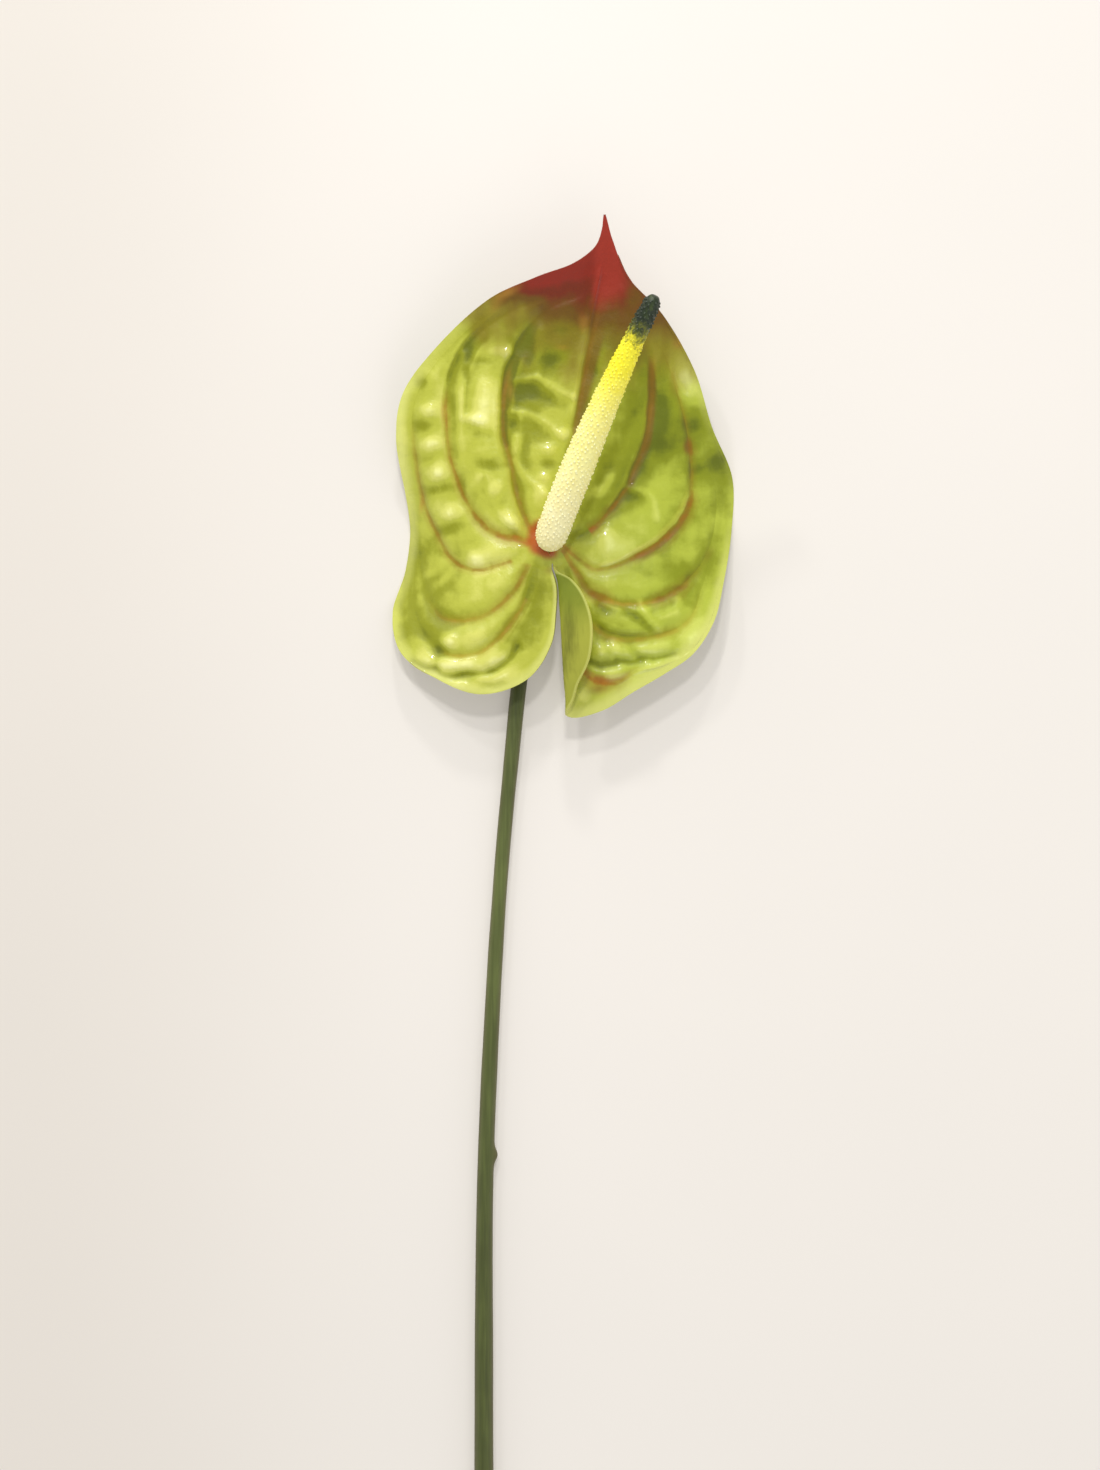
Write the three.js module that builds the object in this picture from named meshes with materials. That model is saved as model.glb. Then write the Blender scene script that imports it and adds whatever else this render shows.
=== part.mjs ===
// A cut anthurium lying on its stalk: the peduncle, the heart-shaped spathe and the spadix.
//
// Millimetres. +X to the right, +Y from the stalk towards the spathe's tip, +Z up. The flower faces up.
// All pieces are drawn round the joint, the point where the stalk passes through the spathe, and the
// finished group is moved so that its origin is the middle of the object's footprint, on the surface
// that it lies on.

import * as THREE from 'three';

// ---------------------------------------------------------------- driving dimensions

// Peduncle: the stalk
const STALK_SIDES = 12;
const STALK_STEPS = 58;
const STEPS_TO_BEND = 1.45;        // over 1, rings come closer together towards the bend
const NECK_RADIUS = 2.8;
const SURFACE_BITE = 0.02;         // how far the lying stretch is drawn into the surface, then flattened
const STALK_RADII = [              // [distance from the joint, radius]
  [0, NECK_RADIUS], [50, 2.85], [120, 2.6], [190, 2.8], [260, 3.1], [330, 3.4], [460, 3.5],
];
const STALK_PLAN = [               // [x, y] of the middle line, from the cut end up to the rise
  [-21.5, -450], [-23.5, -380], [-24, -300], [-23.5, -225], [-21, -165], [-17.5, -110], [-13.8, -70],
];
const STALK_RISE = [               // [x, y, z] of the middle line where it leaves the surface
  [-11.3, -46, 2.8], [-8, -25, 3.1], [-5.2, -12.5, 4.2], [-3.2, -4.8, 6.4], [-1.9, -0.3, 9.4],
  [-1.2, 2.2, 12.8],
];

// The joint: where the stalk passes through the spathe
const JOINT = new THREE.Vector3(-0.8, 3.6, 16.6);
const NECK_DIRECTION = new THREE.Vector3(0.1, 0.35, 0.93).normalize();
const NECK_ABOVE_JOINT = 5;
const SEAT_GAP = 0.3;              // clearance between pieces that meet

// Spathe: the bract
const COLLAR_RADIUS = NECK_RADIUS + 0.05 + SEAT_GAP;
const COLLAR_OPEN_ANGLE = 6;       // degrees either side of the sinus that the collar leaves open
const BLADE_MIDDLE = 1.4;          // thickness along the midrib
const BLADE_EDGE = 0.9;            // thickness at the margin
const ROWS_PER_STATION = 2;
const PROBE = 0.3;                 // how far to either side the blade's slope is read
const CELL_ROWS = 4;
const PUFF_HEIGHT = 1.9;           // most that a cell stands above its ribs
const PUFF_PER_WIDTH = 0.15;       // rise of a cell for each millimetre between its ribs
const CELL_VALLEY = 0.6;           // how much of the rise is left in the valley between two cells

// Spadix: the rod of florets
const SPADIX_TIP = new THREE.Vector3(36.7, 89.2, 61.5);
const SPADIX_BOW = new THREE.Vector3(-2.6, 1, 0);     // how far its line is drawn to one side
const SPADIX_SIDES = 26;
const SPADIX_RINGS = 60;
const SPADIX_BEND = 10;            // stretch over which it turns from the neck's direction to its own
const CLOSER_AT_ENDS = 0.35;
const SPIRAL_SHIFT = 0.12;         // of a side, from each ring to the next
const FLORET_HEIGHT = 0.55;
const SPADIX_RADII = [             // [share of the length, radius over the florets]
  [0, 3.4], [0.01, 5], [0.025, 5.9], [0.05, 6.2], [0.1, 6.3], [0.28, 6.3], [0.4, 6.05], [0.55, 5.45],
  [0.7, 4.85], [0.83, 4.15], [0.95, 3.7], [0.985, 3], [1, 1.3],
];

// Ribs of the spathe, in the order in which they are met across the blade
const RIB_NAMES = [
  'left margin', 'left 6', 'left 5', 'left 4', 'left 3', 'left 2', 'left 1', 'midrib',
  'right 1', 'right 2', 'right 3', 'right 4', 'right 5', 'right 6', 'right margin',
];
const MIDRIB = RIB_NAMES.indexOf('midrib');
const RIGHT_MARGIN = RIB_NAMES.length - 1;
const COLUMNS_PER_PANEL = [3, 3, 3, 4, 4, 4, 4, 4, 4, 4, 3, 3, 3, 7];
const CELL_OFFSETS = [0, 2, 1, 3, 0, 2, 1, 3, 0, 2, 1, 3, 0, 2];   // in rows, so that cells don't line up
const PANEL_GAINS = [0.1, 0.6, 0.9, 0.9, 1, 1, 0.9, 0.8, 0.9, 0.8, 0.9, 0.9, 0.8, 0];
const PANEL_ENDS = [9, 9, 9.5, 10, 14.5, 15, 16, 16, 15.5, 15, 13.5, 12, 11, 10];   // where cells end
const CELLS_FADE_OVER = 2.5;       // in sections

// Cross-sections of the unrolled blade from the collar to the tip. Each gives, in plan, the point where
// it meets every rib. Towards the tip, where the outer ribs run side by side, it leaves out those that
// are evenly spread between two others.
const GIVEN_RIBS = {
  15: RIB_NAMES.keys().toArray(),
  9: [0, 4, 5, 6, 7, 8, 9, 10, 14],
  5: [0, 4, 7, 10, 14],
};
const CROSS_SECTIONS = [
  [[0.1, -4], [-2.6, -4], [-5.2, -3], [-7, -1.2], [-8.2, 2], [-8, 5.6], [-5.8, 9], [1, 10], [6.6, 7.2],
    [7.6, 1.6], [6.8, -1], [5.4, -3], [3.9, -4], [2.4, -4.4], [0.5, -4]],
  [[1.4, -11], [-2.8, -11], [-7, -9], [-9.5, -6.3], [-12, -0.6], [-12, 6.8], [-8, 12.2], [2, 13.6],
    [11, 8.3], [12, -1.6], [9.8, -5.5], [7.2, -9], [4.5, -11], [1.2, -11.5], [-5, -7.8]],
  [[1.5, -20], [-6.2, -19], [-9.3, -16.5], [-12.8, -11.8], [-16.5, -2], [-15.5, 7.4], [-9.8, 16.5],
    [3.2, 18], [14.5, 10], [16, -4], [13, -11.5], [9.5, -15], [6, -18], [1.5, -19.5], [-10.5, -14.5]],
  [[0.4, -31], [-11, -28.5], [-13.2, -22.8], [-16.5, -15.8], [-20.5, -3.4], [-18.5, 8.3], [-11.2, 20.5],
    [4, 22], [17.5, 12.5], [19.8, -3.5], [17, -14], [12.5, -20.5], [8, -25.5], [3.5, -28], [-13, -24]],
  [[-8, -43.5], [-15.5, -36.5], [-18.7, -29.2], [-21.5, -19.8], [-24, -4.2], [-21.5, 9.8], [-12.2, 24],
    [4.6, 25.5], [20, 15.3], [23.2, -2.5], [20.8, -15.5], [16, -25], [11, -33], [7.5, -35.5],
    [-10.5, -36]],
  [[-25, -49], [-25, -42.3], [-26, -34.2], [-27.5, -22.1], [-27, -4.2], [-23.7, 11.8], [-12.9, 27.5],
    [5.2, 28.5], [22, 18], [26.3, -1.2], [24.5, -16.5], [20, -28], [15, -38], [12.3, -41], [-3, -46]],
  [[-42, -42.8], [-39.5, -40.2], [-36, -34.8], [-33.5, -22.7], [-29.5, -3.7], [-25.5, 13.7],
    [-13.4, 31], [5.7, 31], [23.7, 20.3], [29, 0.3], [28, -16.8], [24.5, -29.3], [20.5, -38.6],
    [17, -44.5], [6, -57]],
  [[-54, -33.8], [-50.5, -31.5], [-44.5, -28], [-39, -21.2], [-31.8, -2.8], [-27.3, 16], [-14.2, 34.3],
    [6.2, 33.5], [25.2, 22.5], [31.8, 1.8], [32, -16.6], [29.5, -29.5], [27, -37.3], [24, -44.5],
    [18.5, -55]],
  [[-57, -19.5], [-54, -18.5], [-49, -17], [-43.9, -14.5], [-34, -1.2], [-29, 19], [-15.2, 37.5],
    [6.8, 36.5], [26.8, 25], [35, 3.5], [36.5, -15.6], [35, -29], [33.5, -35.8], [32, -40],
    [30, -48.2]],
  [[-52.3, -4], [-51, -3.8], [-49, -4.5], [-46.4, -5.5], [-36.8, 2], [-31, 22.5], [-16.4, 41],
    [7.6, 40.5], [28.3, 28.5], [38.5, 5.8], [41.5, -13.8], [41, -27.6], [41, -35.8], [41, -38],
    [41.5, -41.5]],
  [[-50.7, 11], [-50, 10.5], [-48.9, 9], [-47.2, 8.2], [-40, 8.5], [-33.3, 29], [-17.4, 46.5],
    [8.6, 46.5], [30, 33], [42.3, 9.3], [46.3, -11.2], [46.8, -25.2], [49, -32], [50, -33.2],
    [51.5, -34.5]],
  [[-52.5, 25.5], [-51.8, 25.2], [-50.6, 24.3], [-48.7, 22.8], [-44.8, 19], [-36, 37.5], [-17.5, 53],
    [9.8, 53], [32, 37.5], [45.8, 13.2], [50.5, -7.3], [51.5, -20.5], [55, -22.5], [57.2, -23],
    [59, -23]],
  [[-55.4, 42.5], [-54.6, 42.2], [-53.3, 41.5], [-51.3, 39.5], [-48.2, 35.5], [-37, 48], [-17, 60],
    [11, 60.5], [34, 43], [48.8, 18.5], [54.8, -1.8], [54.8, -10.5], [58, -9.5], [60.5, -8.8],
    [62.8, -8]],
  [[-53.3, 58.5], [-49, 55.5], [-36.6, 62], [-15, 68.5], [12.3, 69], [35.2, 50.5], [50.8, 26.5],
    [58.8, 8], [65.8, 11]],
  [[-43, 73.3], [-40.1, 71.1], [-31.3, 74.7], [-10, 79], [14.5, 79], [36, 62], [50, 42], [60, 25],
    [66, 30]],
  [[-22, 92.3], [-20.1, 89], [-15.5, 87.8], [-1.5, 88.8], [16.6, 88.5], [35, 72.5], [46.5, 57.5],
    [54, 45.5], [58.5, 47.5]],
  [[-5, 99.9], [-4.2, 96.4], [2.5, 95], [10, 94.5], [18.2, 96], [30, 83], [41, 73.5], [48, 65.8],
    [52, 67.5]],
  [[8.6, 105], [10, 103], [13.4, 101.6], [16, 101], [19.2, 101.5], [24.5, 96.5], [30.5, 90],
    [35.8, 86.5], [40.5, 87]],
  [[16.2, 111], [17.4, 109.4], [19.9, 107.5], [26, 99.3], [27.6, 100.6]],
  [[18.3, 116.6], [18.7, 115.6], [20.1, 113.5], [22, 111.6], [22.6, 112.6]],
  [[18.9, 121.2], [19.2, 121.7], [19.5, 121.8], [19.8, 121.7], [20.1, 121.2]],
];

// Towards the tip, rows of the blade meet the outer ribs this many sections further on than the midrib
const OUTER_LEAD = 1;
const LEAD_FULL_FROM = 3;          // ribs away from the midrib
const LEAD_GROWS = [10, 14];        // in sections
const LEAD_ENDS_OVER = 2.5;

// The right lobe's inner margin is rolled up and over to the front
const ROLL_OUTLINE = [             // [distance below the joint, x of the roll's outer side, radius]
  [3, 1.3, 0.9], [5.5, 2.2, 1.7], [8, 2.9, 2.4], [15, 3.6, 3.9], [24, 4.2, 4.6], [34, 4.7, 4.5],
  [44, 5.3, 3.6], [51, 5.9, 2.6], [57, 5.8, 2],
];
const FIRST_ROLLED_RIB = RIB_NAMES.indexOf('right 3');
const ROLL_MOST_TURN = 150;        // degrees, after which the margin runs straight

// Height of the blade's middle layer over the surface
const BLADE_HEIGHT = 17.3;
const TIP_RISE = { from: 45, over: 75, height: 11 };
const LOBE_FALL = { from: 20, over: 35, height: 3 };
const LEFT_DROOP = { from: 5, over: 46, steady: 3, wave: 14, at: 4, width: 32 };
const RIGHT_DROOP = { from: 10, over: 56, steady: 6, wave: 11, at: 22, width: 30 };
const TIP_FOLD = { from: 70, to: 112, height: 3.4, round: 2, reach: 9 };
const SINUS_LIP = 1.8;             // how far the left lobe's inner margin turns up

// Materials
const STALK_GREEN = new THREE.MeshStandardMaterial({ color: 0x5e693a, roughness: 0.5, metalness: 0 });
const BLADE_GREEN = new THREE.MeshStandardMaterial({ color: 0xc2c94f, roughness: 0.25, metalness: 0 });
const SPADIX_CREAM = new THREE.MeshStandardMaterial({ color: 0xfbf0a2, roughness: 0.6, metalness: 0 });

// ---------------------------------------------------------------- small helpers

const degrees = THREE.MathUtils.degToRad;
const mix = THREE.MathUtils.lerp;
const smooth = THREE.MathUtils.smoothstep;
const vector = ([x, y, z = 0]) => new THREE.Vector3(x, y, z);

/** Value at a key in a list of [key, value, ...] rows, on a smooth line through the rows. */
function along(rows, key, column = 1) {
  const last = rows.length - 1;
  if (key <= rows[0][0]) return rows[0][column];
  if (key >= rows[last][0]) return rows[last][column];
  const upper = rows.findIndex((row) => row[0] >= key);
  const lower = upper - 1;
  const slope = (from, to) => (rows[to][column] - rows[from][column]) / (rows[to][0] - rows[from][0]);
  const step = rows[upper][0] - rows[lower][0];
  const share = (key - rows[lower][0]) / step;
  const lowerSlope = lower > 0 ? slope(lower - 1, upper) : slope(lower, upper);
  const upperSlope = upper < last ? slope(lower, upper + 1) : slope(lower, upper);
  return rows[lower][column] * (1 + 2 * share) * (1 - share) ** 2
    + rows[upper][column] * (3 - 2 * share) * share ** 2
    + step * share * (1 - share) * (lowerSlope * (1 - share) - upperSlope * share);
}

/** A smooth line through points, read by a whole or part point number. */
function lineThrough(points) {
  const curve = new THREE.CatmullRomCurve3(points, false, 'centripetal');
  return (number) => curve.getPoint(number / (points.length - 1));
}

/** A geometry with one shared vertex for each position. */
function geometryFrom(points, index) {
  const geometry = new THREE.BufferGeometry();
  const positions = points.flatMap((point) => point.toArray());
  geometry.setAttribute('position', new THREE.Float32BufferAttribute(positions, 3));
  geometry.setIndex(index);
  geometry.computeVertexNormals();
  return geometry;
}

/** A closed body from rings of points, with a fan over each end. */
function bodyFromRings(rings, splitOtherWay = () => false) {
  const sides = rings[0].length;
  const sumOf = (ring) => ring.reduce((sum, point) => sum.add(point), new THREE.Vector3());
  const middles = [rings[0], rings.at(-1)].map((ring) => sumOf(ring).divideScalar(sides));
  const points = [...rings.flat(), ...middles];
  const [startMiddle, endMiddle] = [points.length - 2, points.length - 1];
  const endRing = (rings.length - 1) * sides;
  const index = [];
  for (let side = 0; side < sides; side += 1) {
    const next = (side + 1) % sides;
    index.push(startMiddle, next, side, endMiddle, endRing + side, endRing + next);
    for (let ring = 0; ring < rings.length - 1; ring += 1) {
      const [a, b] = [ring * sides + side, ring * sides + next];
      const [c, d] = [a + sides, b + sides];
      if (splitOtherWay(ring, side)) index.push(a, b, d, a, d, c);
      else index.push(a, b, c, b, d, c);
    }
  }
  return geometryFrom(points, index);
}

/** A ring round a line: level side to side, and square to the line's direction. */
function ringRound(middle, direction, sides, radiusAt, turn = 0.5) {
  const across = new THREE.Vector3(direction.y, -direction.x, 0).normalize();
  const up = new THREE.Vector3().crossVectors(across, direction);
  return Array.from({ length: sides }, (unused, side) => {
    const angle = ((side + turn) / sides) * 2 * Math.PI;
    return middle.clone()
      .addScaledVector(across, radiusAt(side) * Math.sin(angle))
      .addScaledVector(up, radiusAt(side) * Math.cos(angle));
  });
}

// ---------------------------------------------------------------- peduncle

/** Middle line of the stalk, from its cut end to its top under the spadix. */
function stalkLine() {
  const flatSide = Math.cos(Math.PI / STALK_SIDES);
  const heightAt = (y) => along(STALK_RADII, -y) * flatSide - SURFACE_BITE;
  const lying = STALK_PLAN.map(([x, y]) => vector([x, y, heightAt(y)]));
  const rising = STALK_RISE.map(vector);
  return new THREE.CatmullRomCurve3([...lying, ...rising, JOINT, neckTop()], false, 'centripetal');
}

/** Middle of the stalk's upper end. */
function neckTop() {
  return JOINT.clone().addScaledVector(NECK_DIRECTION, NECK_ABOVE_JOINT);
}

/** The stalk: rings across its line, each with a flat side down, closer together in the bend. */
function makePeduncle() {
  const line = stalkLine();
  const length = line.getLength();
  const rings = Array.from({ length: STALK_STEPS + 1 }, (unused, step) => {
    const share = 1 - (1 - step / STALK_STEPS) ** STEPS_TO_BEND;
    const direction = share < 1 ? line.getTangentAt(share) : NECK_DIRECTION;
    const radius = along(STALK_RADII, length * (1 - share));
    const ring = ringRound(line.getPointAt(share), direction, STALK_SIDES, () => radius);
    ring.forEach((point) => point.setZ(Math.max(point.z, 0)));
    return ring;
  });
  return bodyFromRings(rings);
}

// ---------------------------------------------------------------- spathe

/** Point of the collar's inner edge where a rib starts. */
function collarPoint(rib) {
  const turn = degrees(180 - COLLAR_OPEN_ANGLE);
  const angle = mix(-turn, turn, rib / RIGHT_MARGIN);
  const right = new THREE.Vector3(1, 0, 0);
  const front = new THREE.Vector3().crossVectors(NECK_DIRECTION, right).normalize();
  return JOINT.clone()
    .addScaledVector(right, COLLAR_RADIUS * Math.sin(angle))
    .addScaledVector(front, COLLAR_RADIUS * Math.cos(angle));
}

/** Every rib's point of a cross-section, with those that it leaves out spread evenly. */
function fullSection(section) {
  const given = GIVEN_RIBS[section.length];
  return RIB_NAMES.map((name, rib) => {
    const next = Math.max(1, given.findIndex((givenRib) => givenRib >= rib));
    const share = (rib - given[next - 1]) / (given[next] - given[next - 1]);
    return vector(section[next - 1]).lerp(vector(section[next]), share);
  });
}

/** Height of the unrolled blade's middle layer over the surface. */
function bladeHeight(x, y, midribX) {
  const beyond = (amount, { from, over }) => (Math.max(0, amount - from) / over) ** 2;
  const fall = (droop) => droop.steady + droop.wave * Math.exp(-(((y - droop.at) / droop.width) ** 2));
  const fromFold = Math.hypot(x - midribX, TIP_FOLD.round) - TIP_FOLD.round;
  return BLADE_HEIGHT
    + TIP_RISE.height * beyond(y, TIP_RISE)
    - LOBE_FALL.height * beyond(-y, LOBE_FALL)
    - fall(LEFT_DROOP) * beyond(-x, LEFT_DROOP)
    - fall(RIGHT_DROOP) * beyond(x, RIGHT_DROOP)
    + TIP_FOLD.height * smooth(y, TIP_FOLD.from, TIP_FOLD.to) * Math.tanh(fromFold / TIP_FOLD.reach);
}

/** Rolls the right lobe's inner margin up and over to the front. The roll grows from the collar. */
function rollOver(point, growth) {
  const radius = along(ROLL_OUTLINE, -point.y, 2) / growth;
  const startX = along(ROLL_OUTLINE, -point.y, 1) + along(ROLL_OUTLINE, -point.y, 2);
  const reach = startX - point.x;
  if (reach <= 0) return point;
  const turn = Math.min(reach / radius, degrees(ROLL_MOST_TURN));
  const straight = reach - radius * turn;
  return new THREE.Vector3(
    startX - radius * Math.sin(turn) - straight * Math.cos(turn),
    point.y,
    point.z + radius * (1 - Math.cos(turn)) + straight * Math.sin(turn),
  );
}

/** Point of the blade's middle layer for a point of the unrolled plan. */
function bladePoint(x, y, midribX, growth) {
  const point = new THREE.Vector3(x, y, bladeHeight(x, y, midribX));
  return y < 0 && x < along(ROLL_OUTLINE, -y, 1) + along(ROLL_OUTLINE, -y, 2) && growth > 0
    ? rollOver(point, growth)
    : point;
}

/** The blade's middle layer as rows of points and of the directions square to it, without its cells. */
function middleLayer(stations, ribs) {
  const collar = RIB_NAMES.map((name, rib) => collarPoint(rib));
  const sections = [collar.map(({ x, y }) => vector([x, y])), ...CROSS_SECTIONS.map(fullSection)];
  const ribLines = RIB_NAMES.map((name, rib) => lineThrough(sections.map((section) => section[rib])));
  const lead = (station, rib) => OUTER_LEAD
    * Math.min(1, Math.abs(rib - MIDRIB) / LEAD_FULL_FROM)
    * smooth(station, ...LEAD_GROWS)
    * Math.min(1, (CROSS_SECTIONS.length - station) / LEAD_ENDS_OVER);
  return stations.map((station) => {
    const growth = smooth(station, 0, 1);
    const across = lineThrough(ribLines.map((ribLine, rib) => ribLine(station + lead(station, rib))));
    const midribX = across(MIDRIB).x;
    return ribs.map((rib) => {
      const { x, y } = across(rib);
      const rolls = rib > FIRST_ROLLED_RIB ? growth : 0;
      const at = (right, ahead) => bladePoint(x + right, y + ahead, midribX, rolls);
      const slopeRight = at(PROBE, 0).sub(at(-PROBE, 0));
      const slopeAhead = at(0, PROBE).sub(at(0, -PROBE));
      const square = slopeRight.cross(slopeAhead).normalize();
      const point = at(0, 0);
      const lip = smooth(station, 0.5, 2) * (1 - smooth(station, 4, 6));
      point.z += SINUS_LIP * Math.max(0, 1 - rib) ** 2 * lip;
      point.z = mix(collarPoint(rib).z, point.z, growth);
      return { point, square: square.lerp(NECK_DIRECTION, 1 - growth).normalize() };
    });
  });
}

/** How far the cells lift a point of the blade above the ribs. */
function cellLift(station, rib, ribPoints) {
  const panel = Math.min(Math.floor(rib), RIGHT_MARGIN - 1);
  const width = ribPoints[panel].distanceTo(ribPoints[panel + 1]);
  const rise = Math.min(PUFF_HEIGHT, PUFF_PER_WIDTH * width) * PANEL_GAINS[panel];
  const across = Math.sin(Math.PI * (rib - panel)) ** 0.75;
  const row = station * ROWS_PER_STATION + CELL_OFFSETS[panel];
  const valley = mix(CELL_VALLEY, 1, Math.abs(Math.sin((Math.PI * row) / CELL_ROWS)));
  const fade = 1 - smooth(station, PANEL_ENDS[panel] - CELLS_FADE_OVER, PANEL_ENDS[panel]);
  return rise * across * valley * smooth(station, 0.6, 2) * fade;
}

/** The blade as one closed body: an upper and a lower face, split alike, and the edges between them. */
function makeSpathe() {
  const lastStation = CROSS_SECTIONS.length;
  const rowCount = lastStation * ROWS_PER_STATION + 1;
  const stations = Array.from({ length: rowCount }, (unused, row) => row / ROWS_PER_STATION);
  const ribs = COLUMNS_PER_PANEL.flatMap((columns, panel) => Array.from(
    { length: columns },
    (unused, column) => panel + column / columns,
  ));
  ribs.push(RIGHT_MARGIN);
  const layer = middleLayer(stations, ribs);
  const ribColumns = RIB_NAMES.map((name, rib) => ribs.indexOf(rib));
  const facePoint = (side, row, column) => {
    const { point, square } = layer[row][column];
    const fromMidrib = Math.abs(ribs[column] - MIDRIB) / MIDRIB;
    const thickness = mix(BLADE_MIDDLE, BLADE_EDGE, fromMidrib);
    const ribPoints = ribColumns.map((index) => layer[row][index].point);
    const lift = cellLift(stations[row], ribs[column], ribPoints);
    return point.clone().addScaledVector(square, lift + (side * thickness) / 2);
  };
  const faces = [1, -1].map((side) => layer.map(
    (places, row) => places.map((place, column) => facePoint(side, row, column)),
  ));
  faces[1].forEach((points, row) => points.forEach((point, column) => {
    const sunk = Math.max(0, -point.z);
    point.z += sunk;
    faces[0][row][column].z += sunk;
  }));
  return bladeBody(faces[0], faces[1]);
}

/** Joins two faces of the same rows and columns along their four edges. */
function bladeBody(upper, lower) {
  const rows = upper.length;
  const columns = upper[0].length;
  const above = (row, column) => row * columns + column;
  const below = (row, column) => rows * columns + above(row, column);
  const index = [];
  const wall = (from, to) => {
    index.push(above(...from), below(...from), below(...to));
    index.push(above(...from), below(...to), above(...to));
  };
  for (let row = 0; row < rows - 1; row += 1) {
    for (let column = 0; column < columns - 1; column += 1) {
      const [a, b] = [[row, column], [row, column + 1]];
      const [c, d] = [[row + 1, column], [row + 1, column + 1]];
      index.push(above(...a), above(...b), above(...d), above(...a), above(...d), above(...c));
      index.push(below(...a), below(...d), below(...b), below(...a), below(...c), below(...d));
    }
    wall([row + 1, 0], [row, 0]);
    wall([row, columns - 1], [row + 1, columns - 1]);
  }
  for (let column = 0; column < columns - 1; column += 1) {
    wall([0, column], [0, column + 1]);
    wall([rows - 1, column + 1], [rows - 1, column]);
  }
  return geometryFrom([...upper.flat(), ...lower.flat()], index);
}

// ---------------------------------------------------------------- spadix

/** The spadix: a rod whose surface is raised into florets, in rows that wind round it. */
function makeSpadix() {
  const base = neckTop().addScaledVector(NECK_DIRECTION, SEAT_GAP);
  const reach = SPADIX_TIP.distanceTo(base);
  const lean = SPADIX_TIP.clone().sub(base).normalize();
  const line = new THREE.CubicBezierCurve3(
    base,
    base.clone().addScaledVector(NECK_DIRECTION, SPADIX_BEND),
    SPADIX_TIP.clone().addScaledVector(lean, -reach / 2).add(SPADIX_BOW),
    SPADIX_TIP,
  );
  const isBump = (ring, side) => (ring + side) % 2 === 0;
  const rings = Array.from({ length: SPADIX_RINGS + 1 }, (unused, ring) => {
    const even = ring / SPADIX_RINGS;
    const share = even - (CLOSER_AT_ENDS * Math.sin(2 * Math.PI * even)) / (2 * Math.PI);
    const direction = ring > 0 ? line.getTangentAt(share) : NECK_DIRECTION;
    const radius = along(SPADIX_RADII, share);
    const smoothEnd = ring < 2 || ring > SPADIX_RINGS - 2;
    const radiusAt = (side) => (smoothEnd || isBump(ring, side) ? radius : radius - FLORET_HEIGHT);
    return ringRound(line.getPointAt(share), direction, SPADIX_SIDES, radiusAt, ring * SPIRAL_SHIFT);
  });
  return bodyFromRings(rings, (ring, side) => !isBump(ring, side));
}

// ---------------------------------------------------------------- the whole flower

const PIECES = [
  ['peduncle', makePeduncle, STALK_GREEN],
  ['spathe', makeSpathe, BLADE_GREEN],
  ['spadix', makeSpadix, SPADIX_CREAM],
];

const flower = new THREE.Group();
PIECES.forEach(([name, make, material]) => {
  const piece = new THREE.Mesh(make(), material);
  piece.name = name;
  flower.add(piece);
});

const footprint = new THREE.Box3().setFromObject(flower);
const centre = footprint.getCenter(new THREE.Vector3());
flower.position.set(-centre.x, -centre.y, -footprint.min.z);

export default flower;
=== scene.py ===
"""Looks of a cut anthurium that lies on its stalk: the peduncle, the spathe and the spadix.

Lengths are millimetres and are measured from the joint, the place where the stalk passes through the
spathe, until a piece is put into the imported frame, in metres.
"""

import logging
import math
from collections.abc import Sequence
from dataclasses import dataclass, field
from enum import Enum

import bpy
import numpy as np
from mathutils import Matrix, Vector, kdtree, noise

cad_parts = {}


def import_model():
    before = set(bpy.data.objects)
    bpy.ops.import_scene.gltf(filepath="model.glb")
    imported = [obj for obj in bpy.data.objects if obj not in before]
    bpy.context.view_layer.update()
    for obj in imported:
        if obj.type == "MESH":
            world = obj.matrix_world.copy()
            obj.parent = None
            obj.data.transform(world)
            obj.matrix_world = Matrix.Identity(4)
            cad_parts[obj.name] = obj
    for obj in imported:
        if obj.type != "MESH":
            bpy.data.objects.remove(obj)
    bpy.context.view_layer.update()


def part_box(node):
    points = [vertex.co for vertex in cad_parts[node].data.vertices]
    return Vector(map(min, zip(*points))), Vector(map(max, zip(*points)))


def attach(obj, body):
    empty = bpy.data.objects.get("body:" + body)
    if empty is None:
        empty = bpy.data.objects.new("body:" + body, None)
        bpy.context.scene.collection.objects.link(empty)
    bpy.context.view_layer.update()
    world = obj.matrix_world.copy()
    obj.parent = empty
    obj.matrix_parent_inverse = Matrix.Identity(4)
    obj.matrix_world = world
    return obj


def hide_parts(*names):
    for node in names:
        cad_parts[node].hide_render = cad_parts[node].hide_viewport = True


LOG = logging.getLogger("anthurium")
MILLIMETRE = 0.001
SEED = 7
WELD_DISTANCE = 0.001
# Least growth of a roll and least step between points that anything is divided by
LEAST_GROWTH = 1e-3
LEAST_STEP = 1e-4

Colour = tuple[float, float, float, float]
Span = tuple[float, float]

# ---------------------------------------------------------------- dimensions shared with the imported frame

STALK_LOW_CORNER = (-27.286, -450.098, 0.0)
JOINT = np.array([-0.8, 3.6, 16.6])
NECK_LEAN = np.array([0.1, 0.35, 0.93])
NECK_DIRECTION = NECK_LEAN / np.linalg.norm(NECK_LEAN)
NECK_ABOVE_JOINT = 5.0
NECK_RADIUS = 2.8
NECK_FLARE = 0.05
SEAT_GAP = 0.3
COLLAR_RADIUS = NECK_RADIUS + NECK_FLARE + SEAT_GAP
COLLAR_OPEN_ANGLE = math.radians(6)
COLLAR_LIFT = 3.2

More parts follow.
